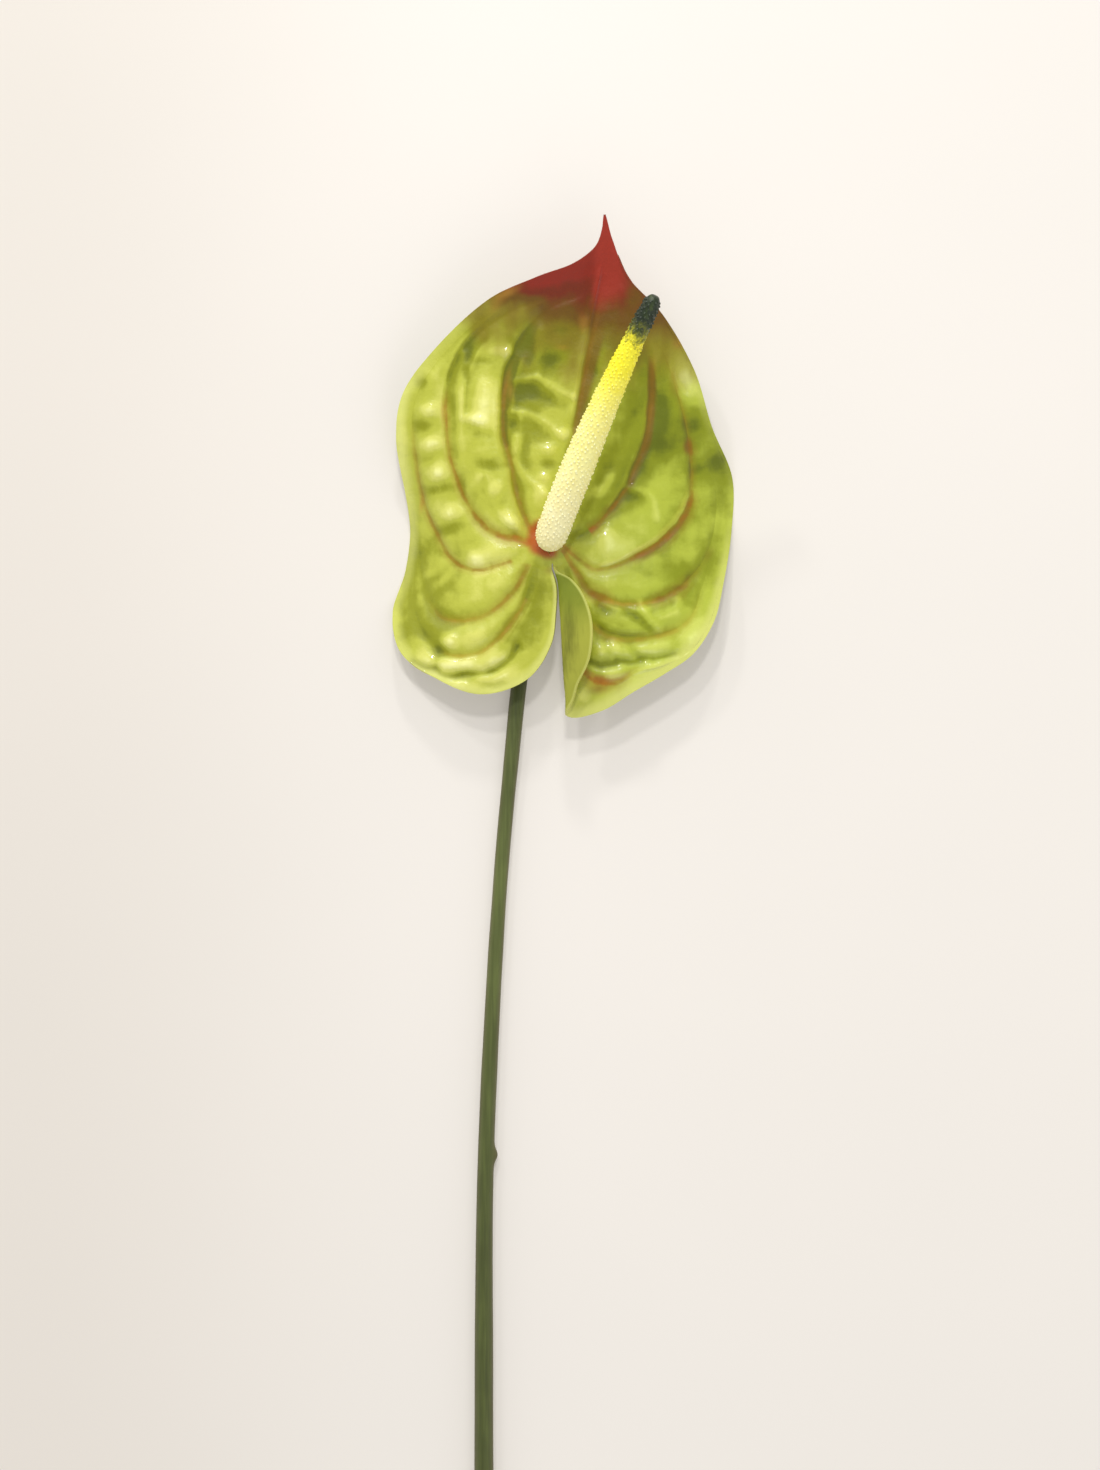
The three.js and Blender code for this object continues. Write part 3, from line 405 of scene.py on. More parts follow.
# Painted veins: station, strength of the ink, share of red in it, half width, and how far it lies to the
# right of its rib
VEIN_INK = {
    Rib.LEFT_1: [
        (0.8, 0.9, 1, 1.6, 0), (1.4, 1, 1, 1.5, 0), (3, 0.8, 0.6, 1.3, 0), (8, 0.6, 0.4, 1.2, 0.2),
        (11.5, 0.6, 0.4, 1.2, 0.6), (13, 0.5, 0.3, 1.2, 0.8), (14, 0, 0.3, 1, 0.8),
    ],
    Rib.LEFT_2: [
        (0.8, 0.9, 1, 1.8, 0), (3, 0.9, 0.8, 1.7, 0), (6, 0.9, 0.6, 1.5, 0), (9, 0.8, 0.6, 1.1, 0),
        (12.9, 0.7, 0.8, 0.9, -0.2), (13.15, 0.4, 0.8, 0.8, -0.2), (13.4, 0, 0.7, 0.8, -0.2),
    ],
    Rib.LEFT_3: [
        (2.3, 0, 0.8, 1, 0), (2.4, 0.8, 0.7, 1, 0), (5, 0.85, 0.5, 1.1, 0), (9, 0.8, 0.5, 1.1, 0),
        (11.5, 0.7, 0.5, 1.1, 0), (12.4, 0.5, 0.6, 1.1, 0), (12.9, 0, 0.5, 1, 0),
    ],
    Rib.LEFT_4: [
        (1.2, 0, 0.8, 1.3, 0), (1.3, 0.7, 0.7, 1.3, 0), (3.7, 0.75, 0.4, 1.2, 0), (6.8, 0.6, 0.2, 1.1, 0),
        (9.2, 0, 0.2, 1, 0),
    ],
    Rib.LEFT_5: [
        (2.7, 0, 0.3, 1.1, 0), (2.8, 0.6, 0.3, 1.1, 0), (5, 0.7, 0.3, 1.1, 0), (6.7, 0.5, 0.2, 1, 0),
        (7.4, 0, 0.2, 1, 0),
    ],
    Rib.MIDRIB: [
        (0.8, 0.5, 0.8, 1.3, 0), (3, 0.4, 0.5, 1.2, 0), (9, 0.4, 0.6, 1.1, 0.4),
        (12.3, 0.4, 0.6, 1.2, 0.6), (15.5, 0.35, 0.6, 1.3, 0.9), (17, 0, 0.5, 1.3, 0.8),
    ],
    Rib.RIGHT_1: [
        (2.85, 0, 0.9, 1.3, 0.3), (2.95, 0.9, 0.9, 1.4, 0.3), (4.5, 0.9, 0.6, 1.2, 0.3),
        (8.6, 0.9, 0.5, 1, 0.3), (9.3, 0.5, 0.4, 1, 0.6), (15, 0.4, 0.4, 1.1, 0.9),
        (15.8, 0, 0.4, 1.1, 0.9),
    ],
    Rib.RIGHT_2: [
        (0.8, 0.7, 0.9, 1.2, 0), (2.7, 0.6, 0.3, 1.2, 0.3), (5.6, 0.8, 0.4, 1.3, 0.6),
        (8, 1, 0.7, 1.5, 0.9), (10, 1, 0.6, 1.7, 1.1), (12.9, 1, 0.5, 1.7, 1),
        (13.15, 0.7, 0.5, 1.4, 0.8), (13.3, 0.5, 0.5, 1, 0), (14, 0.5, 0.5, 1, 0),
        (14.1, 0.9, 0.5, 1.5, 0.2), (14.3, 0.9, 0.5, 1.5, 0.2), (14.45, 0.5, 0.5, 1, 0),
        (15.6, 0.35, 0.5, 1, 0), (16.4, 0, 0.5, 1, 0),
    ],
    Rib.RIGHT_3: [
        (0.8, 0.7, 0.9, 1.3, 0), (2, 0.7, 0.9, 1.3, 0), (3, 0.9, 0.4, 1.9, -0.3),
        (4.5, 0.9, 0.4, 2, -0.4), (5.6, 0.75, 0.1, 1.1, 0), (8.8, 0.65, 0.1, 1, 0),
        (9.6, 0.8, 0.5, 1.8, 0.2), (11.2, 0.8, 0.5, 1.9, 0.2), (11.7, 0.3, 0.4, 1.4, 0),
        (12.6, 0, 0.3, 1.2, 0),
    ],
    Rib.RIGHT_4: [
        (4.6, 0, 0.2, 1.2, 0), (4.8, 0.4, 0.2, 1.2, 0), (9.2, 0.5, 0.2, 1.3, 0), (11, 0.4, 0.2, 1.3, 0),
        (12.4, 0, 0.2, 1.2, 0),
    ],
    Rib.RIGHT_6: [
        (5.7, 0, 1, 1.5, 0), (5.85, 0.8, 0.9, 2.2, -0.4), (7.2, 1, 0.9, 2.4, -0.6),
        (8.1, 0.8, 0.7, 1.8, -0.3), (9.2, 0, 0.6, 1.2, 0),
    ],
}
# A rib without paint, in the same terms
NO_INK = [(0, 0, 0, 1, 0), (1, 0, 0, 1, 0)]

# ---------------------------------------------------------------- helpers


def smoothstep(value: np.ndarray, start: float, end: float) -> np.ndarray:
    """Rises smoothly from 0 at the start to 1 at the end."""
    share = np.clip((value - start) / (end - start), 0, 1)
    return share * share * (3 - 2 * share)


def smooth_table(rows: Sequence[Sequence[float]], keys: np.ndarray, column: int = 1) -> np.ndarray:
    """Reads a table of (key, value, ...) rows on a smooth line through the rows.

    Args:
        rows: The table, with rising keys.
        keys: Where to read it.
        column: Which value of a row to read.

    Returns:
        The value for each key, held level beyond the ends.
    """
    table = np.array(rows, float)
    places, values = table[:, 0], table[:, column]
    last = len(places) - 1
    held = np.clip(keys, places[0], places[-1])
    upper = np.clip(np.searchsorted(places, held), 1, last)
    lower = upper - 1
    step = places[upper] - places[lower]
    share = (held - places[lower]) / step
    before, after = np.maximum(lower - 1, 0), np.minimum(upper + 1, last)
    lower_slope = (values[upper] - values[before]) / (places[upper] - places[before])
    upper_slope = (values[after] - values[lower]) / (places[after] - places[lower])
    return (
        values[lower] * (1 + 2 * share) * (1 - share) ** 2
        + values[upper] * (3 - 2 * share) * share**2
        + step * share * (1 - share) * (lower_slope * (1 - share) - upper_slope * share)
    )


def catmull_rom(points: np.ndarray, numbers: np.ndarray) -> np.ndarray:
    """Reads centripetal Catmull-Rom lines by whole or part point number.

    Args:
        points: Points of the lines, the last two axes being the point number and its coordinates.
        numbers: Where to read each line, with the same leading axes.

    Returns:
        One point for each number.
    """
    first = 2 * points[..., :1, :] - points[..., 1:2, :]
    final = 2 * points[..., -1:, :] - points[..., -2:-1, :]
    padded = np.concatenate([first, points, final], axis=-2)
    whole = np.clip(np.floor(numbers).astype(int), 0, points.shape[-2] - 2)
    share = (numbers - whole)[..., None]
    a, b, c, d = (np.take_along_axis(padded, (whole + step)[..., None], axis=-2) for step in range(4))
    middle = np.sqrt(np.linalg.norm(c - b, axis=-1, keepdims=True))
    middle = np.where(middle < LEAST_STEP, 1, middle)
    before = np.sqrt(np.linalg.norm(b - a, axis=-1, keepdims=True))
    before = np.where(before < LEAST_STEP, middle, before)
    after = np.sqrt(np.linalg.norm(d - c, axis=-1, keepdims=True))
    after = np.where(after < LEAST_STEP, middle, after)
    leaving = ((b - a) / before - (c - a) / (before + middle) + (c - b) / middle) * middle
    arriving = ((c - b) / middle - (d - b) / (middle + after) + (d - c) / after) * middle
    return (
        b
        + leaving * share
        + (3 * (c - b) - 2 * leaving - arriving) * share**2
        + (2 * (b - c) + leaving + arriving) * share**3
    )


def distance_to_line(points: np.ndarray, line: Sequence[Sequence[float]]) -> np.ndarray:
    """Measures how far plan points lie from a line of straight stretches.

    Args:
        points: Plan points.
        line: Plan points that the line joins.

    Returns:
        The distance of each point.
    """
    least = np.full(points.shape[:-1], np.inf)
    for start, end in zip(np.array(line[:-1]), np.array(line[1:])):
        stretch = end - start
        share = np.clip((points - start) @ stretch / (stretch @ stretch), 0, 1)
        away = np.linalg.norm(points - start - share[..., None] * stretch, axis=-1)
        least = np.minimum(least, away)
    return least


def nearest(points: np.ndarray, targets: np.ndarray) -> tuple[np.ndarray, np.ndarray]:
    """Finds the target that lies nearest to each point, in plan or in space.

    Args:
        points: Points, the last axis being their coordinates.
        targets: Targets, one to a row.

    Returns:
        The distance to the nearest target, and its row number, for each point.
    """
    tree = kdtree.KDTree(len(targets))
    for number, target in enumerate(targets):
        tree.insert((*target, 0)[:3], number)
    tree.balance()
    found = [tree.find((*point, 0)[:3])[1:] for point in points.reshape(-1, points.shape[-1])]
    numbers, distances = (np.array(values).reshape(points.shape[:-1]) for values in zip(*found))
    return distances, numbers


def ovals(
    points: np.ndarray, rows: Sequence[Sequence[float]], least_width: float = 0.0, spread: float = 1.0
) -> np.ndarray:
    """Sum of soft ovals at each plan point.

    Args:
        points: Plan points.
        rows: For each oval x, y, half length, half width, turn in degrees and strength.
        least_width: No oval is made narrower than this, half across.
        spread: How many times larger each oval is than its row says.

    Returns:
        The sum at each point.
    """
    total = np.zeros(points.shape[:-1])
    for x, y, long, wide, turn, strength in rows:
        angle = math.radians(turn)
        offset = points - (x, y)
        along = offset[..., 0] * math.cos(angle) + offset[..., 1] * math.sin(angle)
        across = offset[..., 1] * math.cos(angle) - offset[..., 0] * math.sin(angle)
        lengths = max(long, least_width) * spread, max(wide, least_width) * spread
        reach = (along / lengths[0]) ** 2 + (across / lengths[1]) ** 2
        total += strength * np.exp(-reach)
    return total


def wrinkle(points: np.ndarray, size: float, octaves: int = 2) -> np.ndarray:
    """Reads soft noise at points.

    Args:
        points: Points in space.
        size: Size of the noise's features.
        octaves: How many layers it has, each finer than the last.

    Returns:
        A value between about -1 and 1 for each point.
    """
    flat = points.reshape(-1, 3) / size
    values = [noise.fractal(Vector(point), 1.0, 2.0, octaves) for point in flat]
    return np.array(values).reshape(points.shape[:-1])


def smooth_path(points: np.ndarray, count: int) -> tuple[np.ndarray, np.ndarray]:
    """Spaces points evenly on a line.

    Args:
        points: Many points close together on the line.
        count: How many even points are wanted.

    Returns:
        The even points, and the line's direction at each.
    """
    steps = np.linalg.norm(np.diff(points, axis=0), axis=1)
    travelled = np.concatenate([[0], np.cumsum(steps)])
    wanted = np.linspace(0, travelled[-1], count)
    middles = np.stack([np.interp(wanted, travelled, points[:, axis]) for axis in range(3)], axis=1)
    directions = np.gradient(middles, axis=0)
    return middles, directions / np.linalg.norm(directions, axis=1, keepdims=True)


def srgb(red: int, green: int, blue: int) -> Colour:
    """Linear colour, with alpha, for a display colour of 0 to 255 a channel."""
    channels = [value / 255 for value in (red, green, blue)]
    linear = [c / 12.92 if c <= 0.04045 else ((c + 0.055) / 1.055) ** 2.4 for c in channels]
    return (*linear, 1.0)


# ---------------------------------------------------------------- meshes


@dataclass(frozen=True)
class Bench:
    """Where the joint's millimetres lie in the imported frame."""

    shift: np.ndarray

    @classmethod
    def from_frame(cls) -> "Bench":
        """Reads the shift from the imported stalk's lowest corner."""
        low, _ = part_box("peduncle")
        return cls(np.array(low) / MILLIMETRE - np.array(STALK_LOW_CORNER))

    def metres(self, points: np.ndarray) -> np.ndarray:
        """Frame coordinates of points measured from the joint."""
        return (points + self.shift) * MILLIMETRE


class Sheet:
    """A grid primitive whose vertices are placed by column and row."""

    def __init__(self, name: str, columns: int, rows: int) -> None:
        """Adds the grid and reads back which column and row each vertex has.

        Args:
            name: Name of the object and its mesh.
            columns: How many vertices it has across.
            rows: How many vertices it has along.
        """
        bpy.ops.object.select_all(action="DESELECT")
        bpy.ops.mesh.primitive_grid_add(x_subdivisions=columns - 1, y_subdivisions=rows - 1, size=2)
        self.object = bpy.context.object
        self.object.name = self.object.data.name = name
        places = self.positions()
        self.column = np.rint((places[:, 0] + 1) / 2 * (columns - 1)).astype(int)
        self.row = np.rint((places[:, 1] + 1) / 2 * (rows - 1)).astype(int)

    def positions(self) -> np.ndarray:
        """Vertex positions as they are now."""
        flat = np.empty(len(self.object.data.vertices) * 3)
        self.object.data.vertices.foreach_get("co", flat)
        return flat.reshape(-1, 3)

    def place(self, net: np.ndarray) -> None:
        """Moves each vertex to the net's point, in metres, for its row and column."""
        self.set_positions(net[self.row, self.column])

    def set_positions(self, places: np.ndarray) -> None:
        """Moves the vertices to these places, in metres."""
        self.object.data.vertices.foreach_set("co", places.ravel())
        self.object.data.update()

    def mark(self, name: str, net: np.ndarray) -> None:
        """Stores a net of values on the vertices, for the materials to read."""
        attribute = self.object.data.attributes.new(name, "FLOAT", "POINT")
        attribute.data.foreach_set("value", net[self.row, self.column].ravel().astype(np.float32))

    def weight(self, name: str, net: np.ndarray) -> None:
        """Makes a vertex group of this name from a net of weights."""
        group = self.object.vertex_groups.new(name=name)
        for index, value in enumerate(net[self.row, self.column]):
            group.add([index], float(value), "REPLACE")

    def modify(self, kind: str, **settings: object) -> None:
        """Adds a modifier and applies it.

        Args:
            kind: The modifier's type.
            **settings: Its settings by name.
        """
        modifier = self.object.modifiers.new(kind.title(), kind)
        for name, value in settings.items():
            setattr(modifier, name, value)
        bpy.context.view_layer.objects.active = self.object
        bpy.ops.object.modifier_apply(modifier=modifier.name)

    def pick(self) -> None:
        """Selects this object alone and makes it the active one."""
        bpy.ops.object.select_all(action="DESELECT")
        self.object.select_set(True)
        bpy.context.view_layer.objects.active = self.object

    def weld(self) -> None:
        """Joins the vertices that lie at one place and turns all faces outward."""
        self.pick()
        bpy.ops.object.mode_set(mode="EDIT")
        bpy.ops.mesh.select_all(action="SELECT")
        bpy.ops.mesh.remove_doubles(threshold=WELD_DISTANCE * MILLIMETRE)
        bpy.ops.mesh.normals_make_consistent(inside=False)
        bpy.ops.object.mode_set(mode="OBJECT")

    def shade(self, angle: float) -> None:
        """Smooths the shading, but not over edges sharper than this angle in degrees."""
        self.pick()
        bpy.ops.object.shade_smooth_by_angle(angle=math.radians(angle))


@dataclass(frozen=True)
class Tube:
    """Rings round a line, each as a net row of points, with their outward directions."""

    middles: np.ndarray
    directions: np.ndarray
    sides: int

    @property
    def angles(self) -> np.ndarray:
        """Angle of each column of the net round the line; the last meets the first."""
        return np.linspace(0, 2 * math.pi, self.sides + 1)

    @property
    def length(self) -> float:
        """Length of the line."""
        return float(np.linalg.norm(np.diff(self.middles, axis=0), axis=1).sum())

    def outward(self) -> np.ndarray:
        """Unit vectors from the line outward: rows by columns by 3."""
        ahead_x, ahead_y, _ = self.directions.T
        across = np.stack([ahead_y, -ahead_x, np.zeros(len(ahead_x))], axis=1)
        across /= np.linalg.norm(across, axis=1, keepdims=True)
        up = np.cross(across, self.directions)
        sine, cosine = np.sin(self.angles), np.cos(self.angles)
        return sine[None, :, None] * across[:, None] + cosine[None, :, None] * up[:, None]

    def surface(self, radii: np.ndarray) -> np.ndarray:
        """Points at these radii, given for each row or for each row and column."""
        spread = radii if radii.ndim == 2 else radii[:, None]
        return self.middles[:, None] + self.outward() * spread[..., None]


# ---------------------------------------------------------------- shader building


@dataclass(frozen=True)
class Signal:
    """A shader socket that sums and products can be written with."""

    graph: "Graph"
    socket: bpy.types.NodeSocket

    def __add__(self, other: "Value") -> "Signal":
        """The sum."""
        return self.graph.math("ADD", self, other)

    __radd__ = __add__

    def __sub__(self, other: "Value") -> "Signal":
        """The difference."""
        return self.graph.math("SUBTRACT", self, other)

    def __rsub__(self, other: "Value") -> "Signal":
        """The difference, with the signal taken away."""
        return self.graph.math("SUBTRACT", other, self)

    def __mul__(self, other: "Value") -> "Signal":
        """The product."""
        return self.graph.math("MULTIPLY", self, other)

    __rmul__ = __mul__

    def swing(self, reach: float) -> "Signal":
        """The signal, which runs from 0 to 1, as a swing about zero that is this far from end to end."""
        return (self - 0.5) * reach


Value = Signal | float | Sequence[float]


class Graph:
    """The node tree of one material, built a node at a time."""

    def __init__(self, name: str) -> None:
        """Makes an empty material of this name."""
        self.material = bpy.data.materials.new(name)
        self.material.use_nodes = True
        self.material.node_tree.nodes.clear()
        self.coordinates = self.node("TexCoord").outputs["Object"]

    def node(
        self,
        kind: str,
        settings: dict[str, object] | None = None,
        inputs: dict[str | int, Value] | None = None,
    ) -> bpy.types.Node:
        """Adds a node of any kind.

        Args:
            kind: The node's type without the words that all shader nodes share.
            settings: Its own settings, set before its inputs.
            inputs: Values or signals by socket identifier or number.

        Returns:
            The new node.
        """
        node = self.material.node_tree.nodes.new(f"ShaderNode{kind}")
        for name, value in (settings or {}).items():
            setattr(node, name, value)
        by_identifier = {socket.identifier: socket for socket in node.inputs}
        for key, value in (inputs or {}).items():
            socket = node.inputs[key] if isinstance(key, int) else by_identifier[key]
            if isinstance(value, Signal):
                self.material.node_tree.links.new(value.socket, socket)
            else:
                socket.default_value = value
        return node

    def math(self, operation: str, *values: Value) -> Signal:
        """A number worked out from others."""
        node = self.node("Math", {"operation": operation}, dict(enumerate(values)))
        return Signal(self, node.outputs[0])

    def mix(self, share: Value, first: Value, second: Value, blend: str = "MIX") -> Signal:
        """Mixes two colours.

        Args:
            share: Share of the second colour.
            first: The colour below.
            second: The colour laid over it.
            blend: How the second acts on the first.

        Returns:
            The mixed colour.
        """
        settings = {"data_type": "RGBA", "blend_type": blend, "clamp_factor": True}
        node = self.node("Mix", settings, {"Factor_Float": share, "A_Color": first, "B_Color": second})
        return Signal(self, node.outputs[2])

    def lay(self, below: Value, *layers: tuple[Value, Colour]) -> Signal:
        """Lays colours over one another.

        Args:
            below: The lowest colour.
            *layers: The others in order, each with its share before it.

        Returns:
            The colour that shows.
        """
        colour = below
        for share, over in layers:
            colour = self.mix(share, colour, over)
        return colour

    def rise(self, value: Signal, start: float, end: float) -> Signal:
        """Rises smoothly from 0 where the value is at the start to 1 at the end."""
        settings = {"interpolation_type": "SMOOTHSTEP"}
        node = self.node("MapRange", settings, {"Value": value, "From Min": start, "From Max": end})
        return Signal(self, node.outputs["Result"])

    def ramp(self, value: Signal, stops: Sequence[tuple[float, Colour]]) -> Signal:
        """A colour that goes smoothly from stop to stop as the value rises."""
        steps = zip(stops, stops[1:])
        layers = [(self.rise(value, start, end), colour) for (start, _), (end, colour) in steps]
        return self.lay(stops[0][1], *layers)

    def read(self, name: str) -> Signal:
        """A value stored on the mesh."""
        return Signal(self, self.node("Attribute", {"attribute_name": name}).outputs["Fac"])

    def grain(self, size: float, detail: float = 2.0, stretch: Sequence[float] = (1, 1, 1)) -> Signal:
        """Makes noise between 0 and 1.

        Args:
            size: Size of its features in millimetres.
            detail: How many finer layers it has besides.
            stretch: How many times longer the features are along each axis.

        Returns:
            The noise.
        """
        scale = tuple(1 / (size * MILLIMETRE * factor) for factor in stretch)
        place = self.node(
            "VectorMath", {"operation": "MULTIPLY"}, {0: Signal(self, self.coordinates), 1: scale}
        )
        inputs = {"Vector": Signal(self, place.outputs[0]), "Scale": 1.0, "Detail": detail}
        return Signal(self, self.node("TexNoise", None, inputs).outputs["Fac"])

    def bump(self, height: Signal, distance: float, strength: float = 1.0) -> Signal:
        """Normal for a fine relief whose full height is this many millimetres."""
        inputs = {"Height": height, "Distance": distance * MILLIMETRE, "Strength": strength}
        return Signal(self, self.node("Bump", None, inputs).outputs["Normal"])

    def finish(self, **inputs: Value) -> bpy.types.Material:
        """Ends the graph in a Principled shader.

        Args:
            **inputs: The shader's inputs, with underscores for the spaces in their names.

        Returns:
            The finished material.
        """
        named = {key.replace("_", " "): value for key, value in inputs.items()}
        shader = self.node("BsdfPrincipled", None, named)
        output = self.node("OutputMaterial")
        self.material.node_tree.links.new(shader.outputs["BSDF"], output.inputs["Surface"])
        return self.material


# ---------------------------------------------------------------- finishes


@dataclass(frozen=True)
class LeafFace:
    """Upper side of the spathe: waxy green cells with painted light and shade, painted veins, a pale rim, a
    red tip with painted light beside its midrib, and a red collar.
    """

    bright: Colour = srgb(248, 246, 158)
    light: Colour = srgb(217, 217, 106)
    middle: Colour = srgb(186, 190, 66)
    shade: Colour = srgb(143, 147, 20)
    deep: Colour = srgb(104, 110, 4)
    greener: Colour = srgb(228, 255, 196)
    rim: Colour = srgb(226, 227, 128)
    stain_and_shade: Colour = srgb(116, 88, 10)
    blush_and_highlight: Colour = srgb(186, 136, 48)
    ink_red: Colour = srgb(176, 88, 10)
    ink_brown: Colour = srgb(148, 100, 8)
    ink_orange: Colour = srgb(188, 144, 36)
    tip_olive: Colour = srgb(124, 102, 14)
    tip_brown: Colour = srgb(106, 72, 8)
    tip_dark: Colour = srgb(116, 40, 14)
    tip_red: Colour = srgb(138, 38, 21)
    # Painted light: the brighter red where the tip's fold faces the light
    tip_lit_red: Colour = srgb(160, 48, 31)
    collar_red: Colour = srgb(172, 62, 16)

    # Roughness of the hollows and how much less the swellings have, and the coat in the same way
    rough: float = 0.46
    polish: float = 0.32
    least_coat: float = 0.06
    more_coat: float = 0.5
    coat_roughness: float = 0.045
    relief: float = 1.1

    def flesh(self, graph: Graph, fine: Signal) -> Signal:
        """Colours everything but the veins.

        Args:
            graph: The material's graph.
            fine: Its fine noise.

        Returns:
            The colour.
        """
        fibre = graph.grain(1.7, 2, (1, 7, 3))
        # The tone is partly the blade's own mottling and partly painted light and shade: paler swellings
        # and ridges, darker hollows, creases and groove bottoms
        tone = graph.read("tone") + fine.swing(0.7) + graph.grain(22).swing(0.5) + fibre.swing(0.12)
        stops = [(-1, self.deep), (-0.5, self.shade), (0, self.middle), (0.5, self.light), (1, self.bright)]
        colour = graph.mix(graph.read("green") * 0.35, graph.ramp(tone, stops), self.greener, "MULTIPLY")
        edge = graph.read("edge_share") + fine.swing(0.6)
        # Brown stains, with painted shade on the shaded sides of some ribs
        stain_and_shade = graph.read("stain_and_shade") + fine.swing(0.5) + fibre.swing(0.12)
        red = graph.read("red") + graph.grain(9, 2, (1, 2, 1)).swing(0.5) + fine.swing(0.15)
        # Tan blushes, some of them painted highlights
        blush_and_highlight = graph.read("blush_and_highlight") + fine.swing(0.4)
        # Painted light: brighter red beside the tip's midrib
        tip_light = graph.read("tip_light") + fine.swing(0.3)
        collar = graph.read("collar") + fine.swing(0.4)
        return graph.lay(
            colour,
            (graph.rise(edge, 1.1, 0.2) * graph.read("rim") * 0.7, self.rim),
            (graph.rise(stain_and_shade, 0.1, 0.9) * 0.8, self.stain_and_shade),
            (graph.rise(red, 0.0, 0.3) * 0.7, self.tip_olive),
            (graph.rise(red, 0.25, 0.55) * 0.95, self.tip_brown),
            (graph.rise(red, 0.55, 0.8), self.tip_dark),
            (graph.rise(red, 0.82, 1.05), self.tip_red),
            (graph.rise(blush_and_highlight, 0.1, 0.9) * 0.7, self.blush_and_highlight),
            (graph.rise(tip_light, 0.1, 0.8) * 0.85, self.tip_lit_red),
            (graph.rise(collar, 0.1, 1.0) * 0.9, self.collar_red),
        )

    def veined(self, graph: Graph, flesh: Signal, fine: Signal, speck: Signal) -> Signal:
        """Paints the veins, each with a soft halo, in ink that comes and goes.

        Args:
            graph: The material's graph.
            flesh: Colour of the rest.
            fine: Its fine noise.
            speck: Its finest noise.

        Returns:
            The colour with its veins.
        """
        red = graph.read("vein_red")
        ink = graph.lay(
            self.ink_orange,
            (graph.rise(red, 0.1, 0.5), self.ink_brown),
            (graph.rise(red, 0.6, 1.0), self.ink_red),
        )
        away = graph.read("vein") + fine.swing(0.7) + speck.swing(0.4)
        strength = graph.read("ink") * (graph.rise(graph.grain(5, 2), 0.34, 0.58) * 0.4 + 0.6)
        core = graph.rise(away, 1.3, 0.2) * strength * 0.85
        halo = graph.rise(away, 2.6, 0.8) * strength * 0.3
        return graph.mix(graph.math("MAXIMUM", core, halo), flesh, ink)

    def material(self) -> bpy.types.Material:
        """Builds the material, glossy on the pale swellings and duller in the hollows."""
        graph = Graph("leaf_face")
        fine, speck, pores = graph.grain(6, 3), graph.grain(1.1, 2), graph.grain(0.5, 1)
        gloss = graph.rise(graph.read("tone"), -0.2, 0.6)
        return graph.finish(
            Base_Color=self.veined(graph, self.flesh(graph, fine), fine, speck),
            Roughness=self.rough - self.polish * gloss + fine * 0.06,
            Coat_Weight=self.least_coat + self.more_coat * gloss,
            Coat_Roughness=self.coat_roughness,
            Specular_IOR_Level=0.35,
            Normal=graph.bump(fine * 0.85 + speck * 0.1 + pores * 0.05, self.relief, 0.5),
        )


@dataclass(frozen=True)
class LeafUnderside:
    """Lower side of the spathe: dull olive with stripes along the ribs, greener at the collar."""

    dark: Colour = srgb(108, 110, 32)
    light: Colour = srgb(168, 170, 62)
    crown: Colour = srgb(98, 114, 14)
    rim: Colour = srgb(206, 208, 112)
    tip: Colour = srgb(138, 52, 34)

    def material(self) -> bpy.types.Material:
        """Builds the material."""
        graph = Graph("leaf_underside")
        fine, fibre = graph.grain(5, 3), graph.grain(1.2, 2, (1, 7, 1))
        edge = graph.read("edge")
        tone = fine * 0.4 + fibre * 0.6 + graph.rise(edge, 11.0, 2.0) * 0.75
        layers = (
            (graph.rise(tone, 0.35, 1.3), self.light),
            (graph.rise(graph.read("crown") + fine.swing(0.3), 0.0, 1.0) * 0.8, self.crown),
            (graph.rise(edge, 1.0, 0.3) * 0.6, self.rim),
            (graph.rise(graph.read("red") + fine.swing(0.3), 0.3, 0.8) * 0.95, self.tip),
        )
        return graph.finish(
            Base_Color=graph.lay(self.dark, *layers),
            Roughness=0.5 + fine * 0.12,
            Specular_IOR_Level=0.25,
            Normal=graph.bump(fibre * 0.6 + fine * 0.4, 0.3, 0.6),
        )


@dataclass(frozen=True)
class LeafRim:
    """Edge of the spathe: pale yellow, brown round the tip."""

    pale: Colour = srgb(208, 208, 104)
    duller: Colour = srgb(196, 192, 96)
    brown: Colour = srgb(142, 66, 42)

    def material(self) -> bpy.types.Material:
        """Builds the material."""
        graph = Graph("leaf_rim")
        fine = graph.grain(4, 2)
        red = graph.rise(graph.read("red") + fine.swing(0.3), 0.15, 0.6)
        return graph.finish(
            Base_Color=graph.lay(self.pale, (fine, self.duller), (red, self.brown)),
            Roughness=0.32 + fine * 0.1,
            Normal=graph.bump(fine, 0.15, 0.5),
        )


